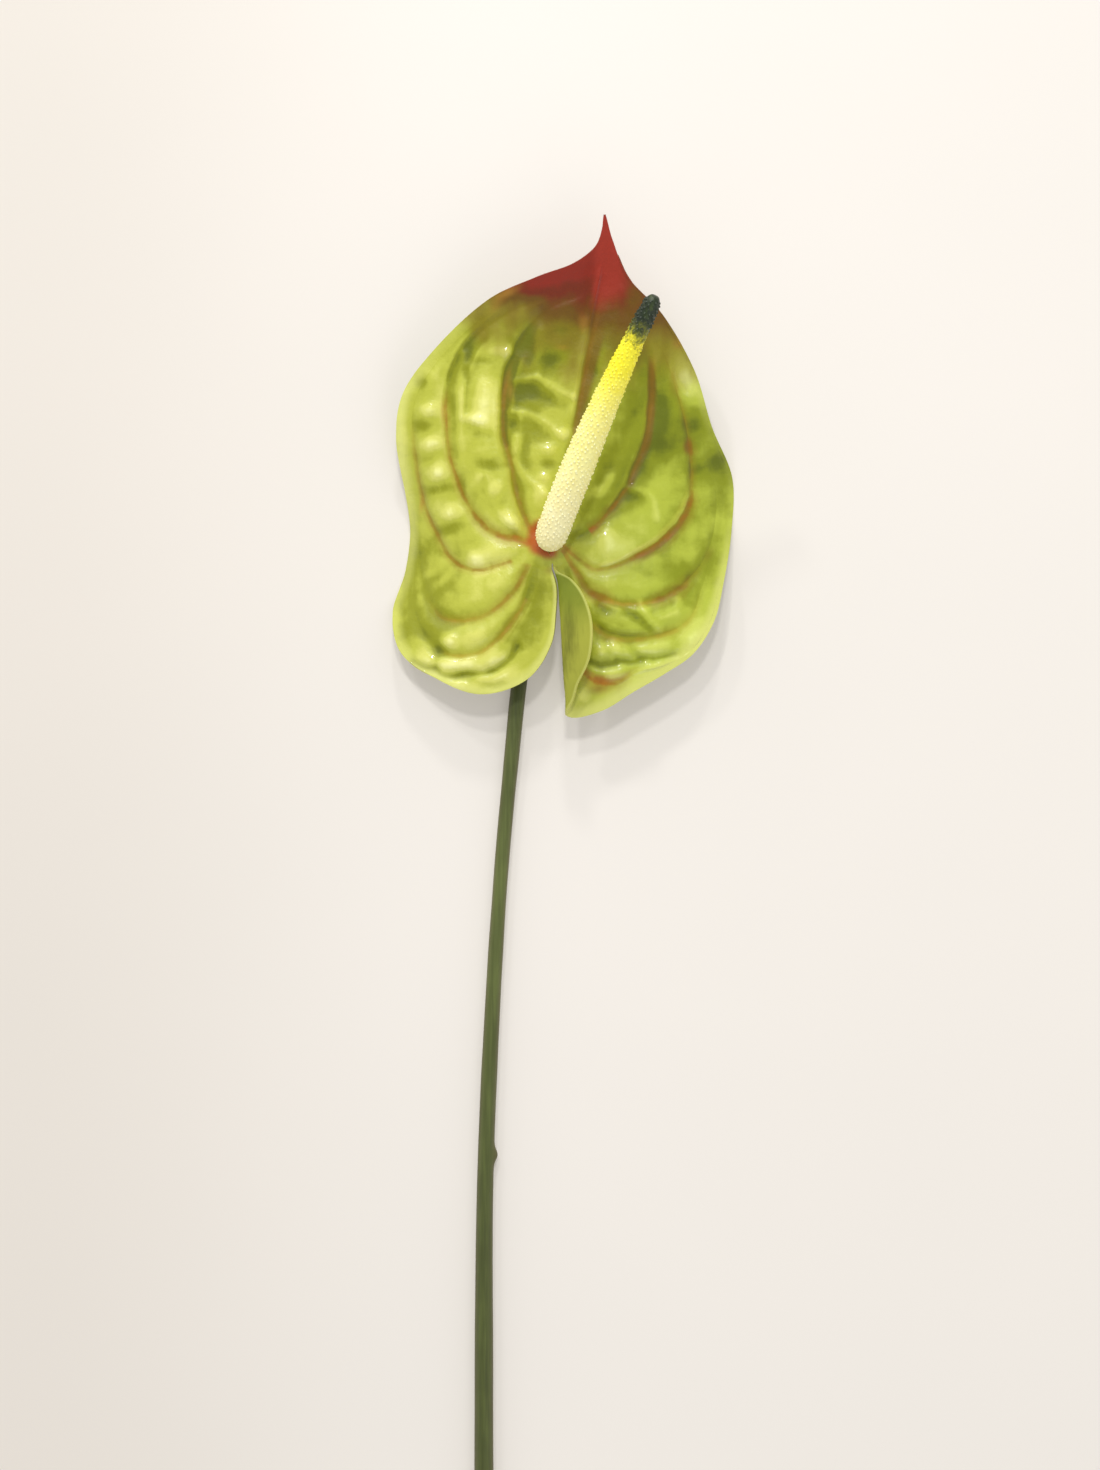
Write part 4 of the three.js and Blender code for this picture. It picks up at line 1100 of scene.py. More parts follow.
@dataclass(frozen=True)
class SpadixSkin:
    """The florets: cream at the base, then yellow, speckled, and a dark green tip, with painted highlights
    on the bead tops near the base.
    """

    base: Colour = srgb(255, 246, 188)
    middle: Colour = srgb(255, 248, 158)
    yellow: Colour = srgb(255, 244, 44)
    olive: Colour = srgb(126, 128, 20)
    teal: Colour = srgb(26, 40, 14)
    streak: Colour = srgb(62, 78, 24)
    shade: Colour = srgb(244, 228, 160)
    bead_highlight: Colour = srgb(255, 255, 222)

    def material(self) -> bpy.types.Material:
        """Builds the material."""
        graph = Graph("spadix_skin")
        along, height, seed = graph.read("along"), graph.read("height"), graph.read("seed")
        fine, patch = graph.grain(0.7, 2), graph.grain(5, 2)
        streak = graph.grain(2.2, 2, (1, 3, 1))
        yellower = graph.rise(along + patch.swing(0.12), 0.42, 0.74)
        colour = graph.lay(self.base, (graph.rise(along, 0.1, 0.45), self.middle), (yellower, self.yellow))
        colour = graph.mix(graph.rise(patch, 0.3, 0.7) * 0.25, colour, self.shade, "MULTIPLY")
        # Painted highlight: paler bead tops, mostly towards the base
        pale = graph.rise(height, 0.15, 0.7) * graph.rise(along, 0.8, 0.4) * 0.4
        ripe = along + seed.swing(0.03) + fine.swing(0.04) + streak.swing(0.04)
        dots = graph.rise(along, 0.74, 0.86) * graph.rise(fine + seed.swing(0.2), 0.56, 0.64)
        turning = graph.rise(ripe, 0.80, 0.87)
        colour = graph.lay(colour, (pale, self.bead_highlight), (dots * 0.8, self.olive), (turning, self.olive))
        dark = graph.mix(graph.rise(streak, 0.5, 0.75) * 0.7, self.teal, self.streak)
        return graph.finish(
            Base_Color=graph.mix(graph.rise(ripe, 0.84, 0.905), colour, dark),
            Roughness=0.42 + fine * 0.1,
            Normal=graph.bump(fine, 0.08, 0.5),
        )


@dataclass(frozen=True)
class StalkSkin:
    """The stalk's skin: grey-green fibres, darker near the flower and towards the cut end, browner at the
    sides, a red neck.
    """

    light: Colour = srgb(100, 110, 52)
    middle: Colour = srgb(76, 84, 34)
    head: Colour = srgb(48, 54, 22)
    brown: Colour = srgb(104, 92, 58)
    foot_darkening: Colour = srgb(226, 226, 214)
    neck: Colour = srgb(132, 50, 20)

    def material(self) -> bpy.types.Material:
        """Builds the material."""
        graph = Graph("stalk_skin")
        fibre, patch, fine = graph.grain(0.9, 3, (1, 22, 1)), graph.grain(18, 2), graph.grain(1.5, 3)
        colour = graph.lay(
            self.middle,
            (graph.rise(fibre * 0.7 + patch * 0.5, 0.35, 0.9), self.light),
            (graph.read("side") * 0.6, self.brown),
            (graph.read("head") * 0.85, self.head),
        )
        colour = graph.mix(graph.read("foot"), colour, self.foot_darkening, "MULTIPLY")
        neck = graph.rise(graph.read("neck") + fine.swing(0.3), 0.2, 0.8)
        return graph.finish(
            Base_Color=graph.mix(neck, colour, self.neck),
            Roughness=0.42 + fine * 0.16,
            Normal=graph.bump(fibre * 0.7 + fine * 0.3, 0.18, 0.7),
        )


@dataclass(frozen=True)
class CutPith:
    """The stalk's cut end: pale, fibrous pith."""

    pale: Colour = srgb(186, 184, 128)
    dark: Colour = srgb(128, 122, 74)

    def material(self) -> bpy.types.Material:
        """Builds the material."""
        graph = Graph("cut_pith")
        dots = graph.grain(0.55, 3)
        return graph.finish(
            Base_Color=graph.mix(graph.rise(dots, 0.35, 0.65), self.dark, self.pale),
            Roughness=0.6 + dots * 0.2,
            Normal=graph.bump(dots, 0.2, 0.7),
        )


@dataclass(frozen=True)
class PaleWall:
    """The pale surface that the flower lies on, with painted shade towards its left and a faint glow of
    painted light that brightens its shadows.
    """

    tone: Colour = srgb(212, 207, 200)
    dim: Colour = srgb(206, 202, 195)
    shaded: Colour = srgb(240, 238, 235)
    # Painted light: the wall glows faintly in this colour, which brightens its shadows
    lift: Colour = srgb(232, 224, 216)
    wall_glow_strength: float = 0.3
    # Where the wall gets dimmer to the left, in metres
    dims_across: Span = (-0.02, -0.2)

    def material(self) -> bpy.types.Material:
        """Builds the material."""
        graph = Graph("pale_wall")
        cloud = graph.grain(160, 2)
        place = graph.node("SeparateXYZ", None, {"Vector": Signal(graph, graph.coordinates)})
        left = graph.rise(Signal(graph, place.outputs["X"]), *self.dims_across)
        colour = graph.mix(cloud, self.dim, self.tone)
        return graph.finish(
            Base_Color=graph.mix(left, colour, self.shaded, "MULTIPLY"),
            Roughness=0.85 + cloud * 0.1,
            Specular_IOR_Level=0.1,
            Emission_Color=self.lift,
            Emission_Strength=self.wall_glow_strength,
        )


# ---------------------------------------------------------------- the spathe


@dataclass(frozen=True)
class Tints:
    """Where the spathe's greens and reds begin and end: places and lengths in plan, and strengths."""

    greener_across: Span = (-5, 30)
    crown_along: Span = (-34, -6)
    tip_start: float = 60.0
    tip_over: float = 48.0
    tip_slant: float = 0.6
    tip_slants_left_of: float = 2.0
    margin_red: float = 0.34
    margin_red_width: float = 6.0
    margin_red_across: Span = (-21, -5)
    # Painted light beside the midrib near the tip: where it grows, and how far it spreads to the left and
    # right
    tip_light_along: Span = (82, 100)
    tip_light_left: float = 3.6
    tip_light_right: float = 9.0
    collar_middle: tuple[float, float] = (0.3, 6.0)
    collar_stretch: float = 1.35
    collar_fades: Span = (6, 11.5)
    collar_loss: float = 0.85
    collar_loss_across: Span = (0, 5)

    def tip(self, x: np.ndarray, y: np.ndarray) -> np.ndarray:
        """How far the brown and the red of the tip have come, from 0 to 1."""
        slant = self.tip_slant * np.maximum(0, self.tip_slants_left_of - x)
        return (y - slant - self.tip_start) / self.tip_over

    def margin(self, x: np.ndarray, from_midrib: np.ndarray, edge: np.ndarray) -> np.ndarray:
        """How much redder the left margin is near the tip."""
        near = self.margin_red * np.exp(-((edge / self.margin_red_width) ** 2))
        return near * smoothstep(x, *self.margin_red_across) * (from_midrib < 0)

    def tip_light(self, y: np.ndarray, from_midrib: np.ndarray) -> np.ndarray:
        """Painted light: how strongly the brighter red of the tip's lit side shows beside the midrib, more
        on its right.
        """
        width = np.where(from_midrib < 0, self.tip_light_left, self.tip_light_right)
        return np.exp(-((from_midrib / width) ** 2)) * smoothstep(y, *self.tip_light_along)

    def collar(self, x: np.ndarray, y: np.ndarray) -> np.ndarray:
        """How red the blade is round the collar, less so on its right."""
        middle_x, middle_y = self.collar_middle
        stretch = np.where(y < middle_y, self.collar_stretch, 1.0)
        away = np.hypot(x - middle_x, (y - middle_y) * stretch)
        right = 1 - self.collar_loss * smoothstep(x, *self.collar_loss_across)
        return (1 - smoothstep(away, *self.collar_fades)) * right


@dataclass
class Spathe:
    """The heart-shaped bract: a puffed, veined blade with its right inner margin rolled over.

    Spans named for growing and fading are stations, which count the cross-sections from the collar.
    """

    bench: Bench

    # The net: its rows are spaced partly by the way travelled and partly by station
    rows: int = 256
    fine_rows: int = 600
    by_distance: float = 0.8
    by_station: float = 0.2
    crowding: float = 0.06
    probe: float = 0.3

    # The blade and how it lies
    middle_thickness: float = 1.4
    edge_thickness: float = 0.9
    bevel: float = 0.28
    bevel_from_angle: float = 60.0
    smooth_up_to_angle: float = 70.0
    level: float = 17.3
    tip_rise: Rise = Rise(45, 75, 11)
    lobe_fall: Rise = Rise(20, 35, 3)
    left_droop: Droop = Droop(5, 46, 3, 14, 4, 32)
    right_droop: Droop = Droop(10, 56, 6, 11, 22, 30)
    tip_fold: TipFold = TipFold(70, 112, 3.4, 2, 9)
    most_roll: float = math.radians(150)

    # How far ahead the outer ribs cross a row, in stations, and how many ribs out that is in full
    outer_lead: float = 1.0
    lead_full_from: float = 3.0
    lead_grows: Span = (10.0, 14.0)
    lead_ends_over: float = 2.5

    # The seam at the collar and the lip of the left lobe beside it
    seam_lap: float = 0.6
    seam_rise: float = 0.6
    seam_grows: Span = (0.0, 0.3)
    seam_fades: Span = (0.6, 1.0)
    sinus_lip: float = 1.8
    lip_grows: Span = (0.5, 2)
    lip_fades: Span = (4, 6)

    # Puffs between the ribs: part level and part dome. They fade over a span round their panel's end.
    puff_height: float = 1.6
    puff_per_width: float = 0.13
    puff_level: float = 0.6
    puff_dome: float = 0.4
    puffs_grow: Span = (0.6, 2)
    puffs_lose: float = 0.92
    puffs_fade: Span = (-2.5, 2)
    groove_width: float = 2.6

    # Cells, folds and wrinkles
    swelling_height: float = 1.0
    hollow_height: float = 0.4
    cell_least_width: float = 1.9
    fold_width: float = 1.35
    wrinkle_size: float = 14.0
    wrinkle_height: float = 0.3
    cells_end_past_rib: float = 0.2

    # Painted light and shade of cells, folds and grooves: paler swellings and ridges, darker hollows,
    # creases and groove bottoms
    swelling_light: float = 1.0
    hollow_shade: float = 0.75
    tone_spread: float = 1.2
    fold_light_and_shade: float = 1.0
    groove_shade: float = 0.4
    groove_shade_width: float = 1.7
    valley_shade: float = 0.3
    valley_shade_width: float = 4.5

    # Veins: where their paint is first read, in how many steps, and the least way to the next rib
    vein_start: float = 0.5
    vein_steps: int = 1600
    vein_least_way: float = 0.1

    # First row whose ends count as a margin
    margin_from_row: int = 3

    stations: np.ndarray = field(init=False)
    ribs: np.ndarray = field(init=False)
    crossings: np.ndarray = field(init=False)
    plan: np.ndarray = field(init=False)

    def __post_init__(self) -> None:
        """Lays out the rows, the columns and their plan."""
        self.stations = self.row_stations()
        self.ribs = self.columns()
        self.crossings = self.rib_crossings(self.stations)
        rows = len(self.stations)
        self.plan = catmull_rom(self.crossings, np.broadcast_to(self.ribs, (rows, len(self.ribs))))

    def row_stations(self) -> np.ndarray:
        """Station of every row, closer together where the cross-sections are far apart."""
        fine = np.linspace(0, LAST_STATION, self.fine_rows)
        steps = np.linalg.norm(np.diff(self.rib_crossings(fine), axis=0), axis=-1).mean(axis=1)
        travelled = np.concatenate([[0], np.cumsum(steps)])
        pace = self.by_distance * travelled / travelled[-1] + self.by_station * fine / LAST_STATION
        return np.interp(np.linspace(0, 1, self.rows), pace, fine)

    def columns(self) -> np.ndarray:
        """Rib number of every column, closer together beside the ribs."""
        parts = []
        for panel, count in enumerate(PANEL_COLUMNS):
            even = np.arange(count) / count
            parts.append(panel + even - np.sin(2 * math.pi * even) * self.crowding)
        return np.concatenate([*parts, [len(PANEL_COLUMNS)]])

    @staticmethod
    def collar() -> np.ndarray:
        """Where each rib starts, round the stalk."""
        turn = math.pi - COLLAR_OPEN_ANGLE
        angles = np.linspace(-turn, turn, len(Rib))
        right = np.array([1.0, 0.0, 0.0])
        front = np.cross(NECK_DIRECTION, right)
        front /= np.linalg.norm(front)
        ring = np.sin(angles)[:, None] * right + np.cos(angles)[:, None] * front
        return JOINT + NECK_DIRECTION * COLLAR_LIFT + COLLAR_RADIUS * ring

    def rib_lines(self) -> np.ndarray:
        """Plan points of every rib at the collar and at every cross-section: ribs by sections by 2."""
        sections, ribs = [self.collar()[:, :2]], np.arange(len(Rib))
        for section in CROSS_SECTIONS:
            given = GIVEN_RIBS[len(section)]
            across = [np.interp(ribs, given, places) for places in np.array(section, float).T]
            sections.append(np.stack(across, axis=1))
        return np.stack(sections, axis=1)

    def rib_crossings(self, stations: np.ndarray) -> np.ndarray:
        """Plan points where rows at these stations cross the ribs: rows by ribs by 2."""
        from_midrib = np.abs(np.arange(len(Rib)) - Rib.MIDRIB.value)
        lead = (
            self.outer_lead
            * np.minimum(1, from_midrib / self.lead_full_from)[:, None]
            * smoothstep(stations, *self.lead_grows)
            * np.minimum(1, (LAST_STATION - stations) / self.lead_ends_over)
        )
        return catmull_rom(self.rib_lines(), stations + lead).transpose(1, 0, 2)

    def height(self, x: np.ndarray, y: np.ndarray, midrib_x: np.ndarray) -> np.ndarray:
        """Height of the middle layer before its margin is rolled.

        Args:
            x: Plan x of every net point.
            y: Plan y of every net point.
            midrib_x: Plan x of the midrib in each point's row.

        Returns:
            The height of every net point.
        """
        return (
            self.level
            + self.tip_rise.at(y)
            - self.lobe_fall.at(-y)
            - self.left_droop.at(-x, y)
            - self.right_droop.at(x, y)
            + self.tip_fold.at(x - midrib_x, y)
        )

    def bent(self, x: np.ndarray, y: np.ndarray, midrib_x: np.ndarray, growth: np.ndarray) -> np.ndarray:
        """Points of the middle layer, with the right lobe's inner margin rolled up and over.

        Args:
            x: Plan x of every net point.
            y: Plan y of every net point.
            midrib_x: Plan x of the midrib in each point's row.
            growth: How far the roll has grown, 0 where nothing rolls.

        Returns:
            Points of the layer, one for each net point.
        """
        z = self.height(x, y, midrib_x)
        radius = smooth_table(ROLL_OUTLINE, -y, 2)
        start = smooth_table(ROLL_OUTLINE, -y, 1) + radius
        radius = radius / np.maximum(growth, LEAST_GROWTH)
        reach = start - x
        rolls = (growth > 0) & (y < 0) & (reach > 0)
        turn = np.minimum(reach / radius, self.most_roll)
        straight = reach - radius * turn
        rolled_x = start - radius * np.sin(turn) - straight * np.cos(turn)
        rolled_z = z + radius * (1 - np.cos(turn)) + straight * np.sin(turn)
        return np.stack([np.where(rolls, rolled_x, x), y, np.where(rolls, rolled_z, z)], axis=-1)

    def between(self, grows: Span, fades: Span) -> np.ndarray:
        """Rises from 0 to 1 over one span of stations and falls back over another, for each row."""
        return smoothstep(self.stations, *grows) * (1 - smoothstep(self.stations, *fades))

    def middle_layer(self) -> tuple[np.ndarray, np.ndarray]:
        """The blade's middle layer, and the direction square to it, at every net point."""
        x, y = self.plan[..., 0], self.plan[..., 1]
        growth = smoothstep(self.stations, 0, 1)[:, None]
        midrib_x = self.crossings[:, Rib.MIDRIB.value, 0][:, None]
        rolls = np.where(self.ribs > Rib.RIGHT_3.value, growth, 0)
        step = self.probe
        right = self.bent(x + step, y, midrib_x, rolls) - self.bent(x - step, y, midrib_x, rolls)
        ahead = self.bent(x, y + step, midrib_x, rolls) - self.bent(x, y - step, midrib_x, rolls)
        square = np.cross(right, ahead)
        square /= np.linalg.norm(square, axis=-1, keepdims=True)
        points = self.bent(x, y, midrib_x, rolls)
        left_side = np.maximum(0, 1 - self.ribs) ** 2
        right_side = np.maximum(0, self.ribs - Rib.RIGHT_MARGIN.value + 1) ** 2
        lap = self.between(self.seam_grows, self.seam_fades)[:, None]
        points[..., 0] += self.seam_lap * lap * (left_side - right_side)
        points[..., 2] += self.seam_rise * lap * (left_side - right_side)
        points[..., 2] += self.sinus_lip * self.between(self.lip_grows, self.lip_fades)[:, None] * left_side
        collar_z = np.interp(self.ribs, np.arange(len(Rib)), self.collar()[:, 2])
        points[..., 2] = collar_z + (points[..., 2] - collar_z) * growth
        square = square * growth[..., None] + NECK_DIRECTION * (1 - growth[..., None])
        return points, square / np.linalg.norm(square, axis=-1, keepdims=True)

    @property
    def panels(self) -> np.ndarray:
        """Panel that each column of the net lies in."""
        return np.minimum(self.ribs.astype(int), len(PANEL_COLUMNS) - 1)

    def puffs(self) -> np.ndarray:
        """Rise of the blade between its ribs, as a net."""
        panels = self.panels
        ends = self.crossings[:, panels], self.crossings[:, panels + 1]
        width = np.linalg.norm(ends[1] - ends[0], axis=-1)
        rise = np.minimum(self.puff_height, self.puff_per_width * width) * np.array(PANEL_GAINS)[panels]
        share = self.ribs - panels
        from_rib = np.minimum(share, 1 - share) * width
        dome = self.puff_level + self.puff_dome * np.sin(math.pi * share)
        return rise * dome * (1 - np.exp(-((from_rib / self.groove_width) ** 2))) * self.fade()

    def fade(self) -> np.ndarray:
        """How strongly each net point is puffed: not at the collar, nor where the outer ribs meet."""
        ends = np.array(PANEL_ENDS, float)[self.panels]
        rows = self.stations[:, None]
        before, after = self.puffs_fade
        lost = self.puffs_lose * smoothstep(rows, ends + before, ends + after)
        return smoothstep(rows, *self.puffs_grow) * (1 - lost)

    def folds(self) -> np.ndarray:
        """Narrow ridges and creases, as a net of heights."""
        total = np.zeros(self.plan.shape[:-1])
        for line, height in FOLDS:
            total += height * np.exp(-((distance_to_line(self.plan, line) / self.fold_width) ** 2))
        return total

    def bands(self) -> np.ndarray:
        """Heights, painted light and shade, and brown stains partly of painted shade, of the bands beside
        the ribs, as three nets.
        """
        totals = np.zeros((3, *self.plan.shape[:-1]))
        for rib, side, first, last, distance, width, *strengths in BANDS:
            there = self.crossings[:, rib.value]
            away = np.linalg.norm(self.plan - there[:, None], axis=-1) * np.sign(self.ribs - rib.value)
            reach = self.between((first, first + 1), (last - 1, last))
            band = np.exp(-(((away - side.value * distance) / width) ** 2)) * reach[:, None]
            totals += np.array(strengths)[:, None, None] * band
        return totals

    def vein_marks(self) -> dict[str, np.ndarray]:
        """What the nearest vein does to every net point.

        Returns:
            Nets by name: the distance in half widths, the painted shade of the groove's bottom, the ink and
                its red.
        """
        fine = np.linspace(self.vein_start, LAST_STATION, self.vein_steps)
        crossings = self.rib_crossings(fine)
        lines, marks = [], []
        for rib in list(Rib)[1:-1]:
            stations, *columns = np.array(VEIN_INK.get(rib, NO_INK)).T
            ink, red, width, offset = (np.interp(fine, stations, column) for column in columns)
            right = crossings[:, rib.value + 1] - crossings[:, rib.value]
            right /= np.maximum(np.linalg.norm(right, axis=1, keepdims=True), self.vein_least_way)
            lines.append(crossings[:, rib.value] + right * offset[:, None])
            painted_groove_shade = np.full(len(fine), GROOVE_SHADES.get(rib, self.groove_shade))
            marks.append(np.stack([ink, red, width, painted_groove_shade], axis=1))
        away, numbers = nearest(self.plan, np.concatenate(lines))
        ink, red, width, painted_groove_shade = np.moveaxis(np.concatenate(marks)[numbers], -1, 0)
        # Painted shade along the bottom of each groove, narrow and broad
        valley = self.valley_shade * np.exp(-((away / self.valley_shade_width) ** 2))
        dark = np.exp(-((away / self.groove_shade_width) ** 2)) + valley
        return {"vein": away / width, "painted_groove_shade": painted_groove_shade * self.fade() * dark, "ink": ink, "vein_red": red}

    def edge_distance(self, points: np.ndarray) -> np.ndarray:
        """Distance of every net point to the nearest margin."""
        first = self.margin_from_row
        return nearest(points, np.concatenate([points[first:, 0], points[first:, -1], points[-1]]))[0]

    def rims(self) -> tuple[np.ndarray, np.ndarray]:
        """How pale the margin nearest to each net point is, and how wide that is."""
        stations, sides = self.stations, []
        for rows in PALE_MARGINS.values():
            places, *columns = np.array(rows).T
            sides.append([np.interp(stations, places, column)[:, None] for column in columns])
        (left, left_width), (right, right_width) = sides
        on_left = self.ribs < Rib.MIDRIB.value
        return np.where(on_left, left, right), np.where(on_left, left_width, right_width)

    def cells(self, hollow: float, swelling: float, spread: float = 1.0) -> np.ndarray:
        """Sum of the cells at every net point.

        Args:
            hollow: Factor for hollows.
            swelling: Factor for swellings.
            spread: How many times larger each cell is than its row says.

        Returns:
            A net of sums.
        """
        total = ovals(self.plan, CELLS, self.cell_least_width, spread)
        return total * np.where(total < 0, hollow, swelling)

    def tones(
        self, edge: np.ndarray, fold_heights: np.ndarray, band_marks: np.ndarray
    ) -> dict[str, np.ndarray]:
        """Works out what colours the blade, apart from its veins.

        Args:
            edge: Distance of every net point to the nearest margin.
            fold_heights: Heights of the folds.
            band_marks: Painted light and shade, and brown stains partly of painted shade, of the bands
                beside the ribs.

        Returns:
            Nets of values by name.
        """
        tints = Tints()
        x, y = self.plan[..., 0], self.plan[..., 1]
        from_midrib = x - self.crossings[:, Rib.MIDRIB.value, 0][:, None]
        cells = self.cells(self.hollow_shade, self.swelling_light, self.tone_spread)
        band_light_and_shade, band_stain_and_shade = band_marks
        rim, width = self.rims()
        red = tints.tip(x, y) - ovals(self.plan, TIP_CELLS) + tints.margin(x, from_midrib, edge)
        return {
            # Tone: the blade's own mottling, with painted light and shade from cells, broad patches, folds
            # and bands
            "tone": cells + ovals(self.plan, BROAD_TONES_LIGHT_AND_SHADE) + fold_heights * self.fold_light_and_shade + band_light_and_shade,
            "green": smoothstep(from_midrib, *tints.greener_across),
            "stain_and_shade": ovals(self.plan, STAINS) + band_stain_and_shade,
            "blush_and_highlight": ovals(self.plan, BLUSHES_AND_HIGHLIGHTS),
            "rim": rim,
            "edge_share": edge / width,
            "red": red,
            "tip_light": tints.tip_light(y, from_midrib),
            "collar": tints.collar(x, y),
            "crown": smoothstep(y, *tints.crown_along),
        }

    def build(self) -> bpy.types.Object:
        """Models the blade and returns its object."""
        points, square = self.middle_layer()
        folds, bands = self.folds(), self.bands()
        unrolled = self.ribs < Rib.RIGHT_6.value + self.cells_end_past_rib
        unrolled = unrolled * smoothstep(self.stations, *self.puffs_grow)[:, None]
        wrinkles = wrinkle(points, self.wrinkle_size, 3) * self.wrinkle_height
        relief = self.cells(self.hollow_height, self.swelling_height) + folds + wrinkles
        lift = self.puffs() + relief * unrolled + bands[0]
        share = np.abs(self.ribs - Rib.MIDRIB.value) / Rib.MIDRIB.value
        thickness = self.middle_thickness + (self.edge_thickness - self.middle_thickness) * share
        upper = points + square * (lift + thickness / 2)[..., None]
        sheet = Sheet("spathe_blade", len(self.ribs), len(self.stations))
        sheet.place(self.bench.metres(upper))
        edge = self.edge_distance(upper)
        values = {"edge": edge, **self.vein_marks(), **self.tones(edge, folds, bands[1:])}
        values["tone"] = values["tone"] - values.pop("painted_groove_shade")
        for name, net in values.items():
            sheet.mark(name, net)
        sheet.weight("thickness", np.broadcast_to(thickness / self.middle_thickness, lift.shape))
        for finish in (LeafFace(), LeafUnderside(), LeafRim()):
            sheet.object.data.materials.append(finish.material())
        sheet.modify(
            "SOLIDIFY", thickness=self.middle_thickness * MILLIMETRE, offset=-1, vertex_group="thickness",
            material_offset=1, material_offset_rim=2,
        )
        sheet.modify(
            "BEVEL", width=self.bevel * MILLIMETRE, segments=2, limit_method="ANGLE",
            angle_limit=math.radians(self.bevel_from_angle),
        )
        sheet.modify("TRIANGULATE", quad_method="SHORTEST_DIAGONAL")
        places = sheet.positions()
        places[:, 2] = np.maximum(places[:, 2], 0)
        sheet.set_positions(places)
        sheet.shade(self.smooth_up_to_angle)
        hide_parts("spathe")
        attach(sheet.object, "root")
        return sheet.object


# ---------------------------------------------------------------- the spadix


@dataclass
class Spadix:
    """The rod of florets: a tapering tube raised into beads that wind round it.

    Places along it are shares of its length.
    """

    bench: Bench
    rows: int = 430
    sides: int = 176
    line_steps: int = 2000
    first_floret: float = 0.012
    last_floret: float = 0.995
    spacing: float = 1.7
    closeness: float = 0.9
    scatter: float = 0.45
    bead_height: float = 0.6
    bead_radius: float = 0.5
    bead_roundness: float = 0.7
    lowest_bead: float = 0.35
    beads_grow: Span = (0.0, 0.02)
    beads_fade: Span = (0.985, 1.0)
    smooth_up_to_angle: float = 80.0

    def tube(self) -> Tube:
        """The rod's middle line and directions, from the neck to the tip."""
        base = JOINT + NECK_DIRECTION * (NECK_ABOVE_JOINT + SEAT_GAP)
        reach = np.linalg.norm(SPADIX_TIP - base)
        lean = (SPADIX_TIP - base) / reach
        a, d = base, SPADIX_TIP
        b, c = a + NECK_DIRECTION * SPADIX_BEND, d - lean * reach / 2 + SPADIX_BOW
        t = np.linspace(0, 1, self.line_steps)[:, None]
        line = a * (1 - t) ** 3 + 3 * b * t * (1 - t) ** 2 + 3 * c * t**2 * (1 - t) + d * t**3
        middles, directions = smooth_path(line, self.rows)
        return Tube(middles, directions, self.sides)

    def florets(self, tube: Tube) -> np.ndarray:
        """Places the florets on the rod's surface, a little out of their even spiral.

        Args:
            tube: The rod.

        Returns:
            The florets' centres.
        """
        length = tube.length
        random = np.random.default_rng(SEED)
        shares, angles, share, order = [], [], self.first_floret, 0
        golden = math.pi * (3 - math.sqrt(5))
        while share < self.last_floret:
            radius = float(smooth_table(SPADIX_RADII, np.array([share]))[0])
            aside, ahead = random.uniform(-self.scatter, self.scatter, 2)
            shares.append(min(1, max(0, share + ahead / length)))
            angles.append((order * golden + aside / radius) % (2 * math.pi))
            share += self.spacing**2 * self.closeness / (2 * math.pi * radius) / length
            order += 1
        share, angle = np.array(shares), np.array(angles)
        row = share * (len(tube.middles) - 1)
        lower = np.clip(row.astype(int), 0, len(tube.middles) - 2)
        part = (row - lower)[:, None]
        outward = tube.outward()
        column = angle / (2 * math.pi) * self.sides
        side = np.rint(column).astype(int)
        direction = outward[lower, side] * (1 - part) + outward[lower + 1, side] * part
        middle = tube.middles[lower] * (1 - part) + tube.middles[lower + 1] * part
        return middle + direction * smooth_table(SPADIX_RADII, share)[:, None]

    def build(self) -> bpy.types.Object:
        """Models the rod and returns its object."""
        tube = self.tube()
        share = np.linspace(0, 1, self.rows)
        radii = smooth_table(SPADIX_RADII, share)
        smooth = tube.surface(radii)
        centres = self.florets(tube)
        away, floret = nearest(smooth, centres)
        seeds = np.random.default_rng(SEED).random(len(centres))[floret]
        size = self.lowest_bead + (1 - self.lowest_bead) * seeds
        dome = np.maximum(0, 1 - (away / self.bead_radius) ** 2) ** self.bead_roundness * size
        ends = np.minimum(smoothstep(share, *self.beads_grow), 1 - smoothstep(share, *self.beads_fade))
        raised = radii[:, None] - self.bead_height * (1 - dome) * ends[:, None]
        raised[0] = raised[-1] = 0
        sheet = Sheet("spadix_rod", self.sides + 1, self.rows)
        sheet.place(self.bench.metres(tube.surface(raised)))
        sheet.mark("along", np.broadcast_to(share[:, None], away.shape))
        sheet.mark("height", dome)
        sheet.mark("seed", seeds)
        sheet.object.data.materials.append(SpadixSkin().material())
        sheet.weld()
        sheet.shade(self.smooth_up_to_angle)
        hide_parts("spadix")
        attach(sheet.object, "root")
        return sheet.object


# ---------------------------------------------------------------- the stalk


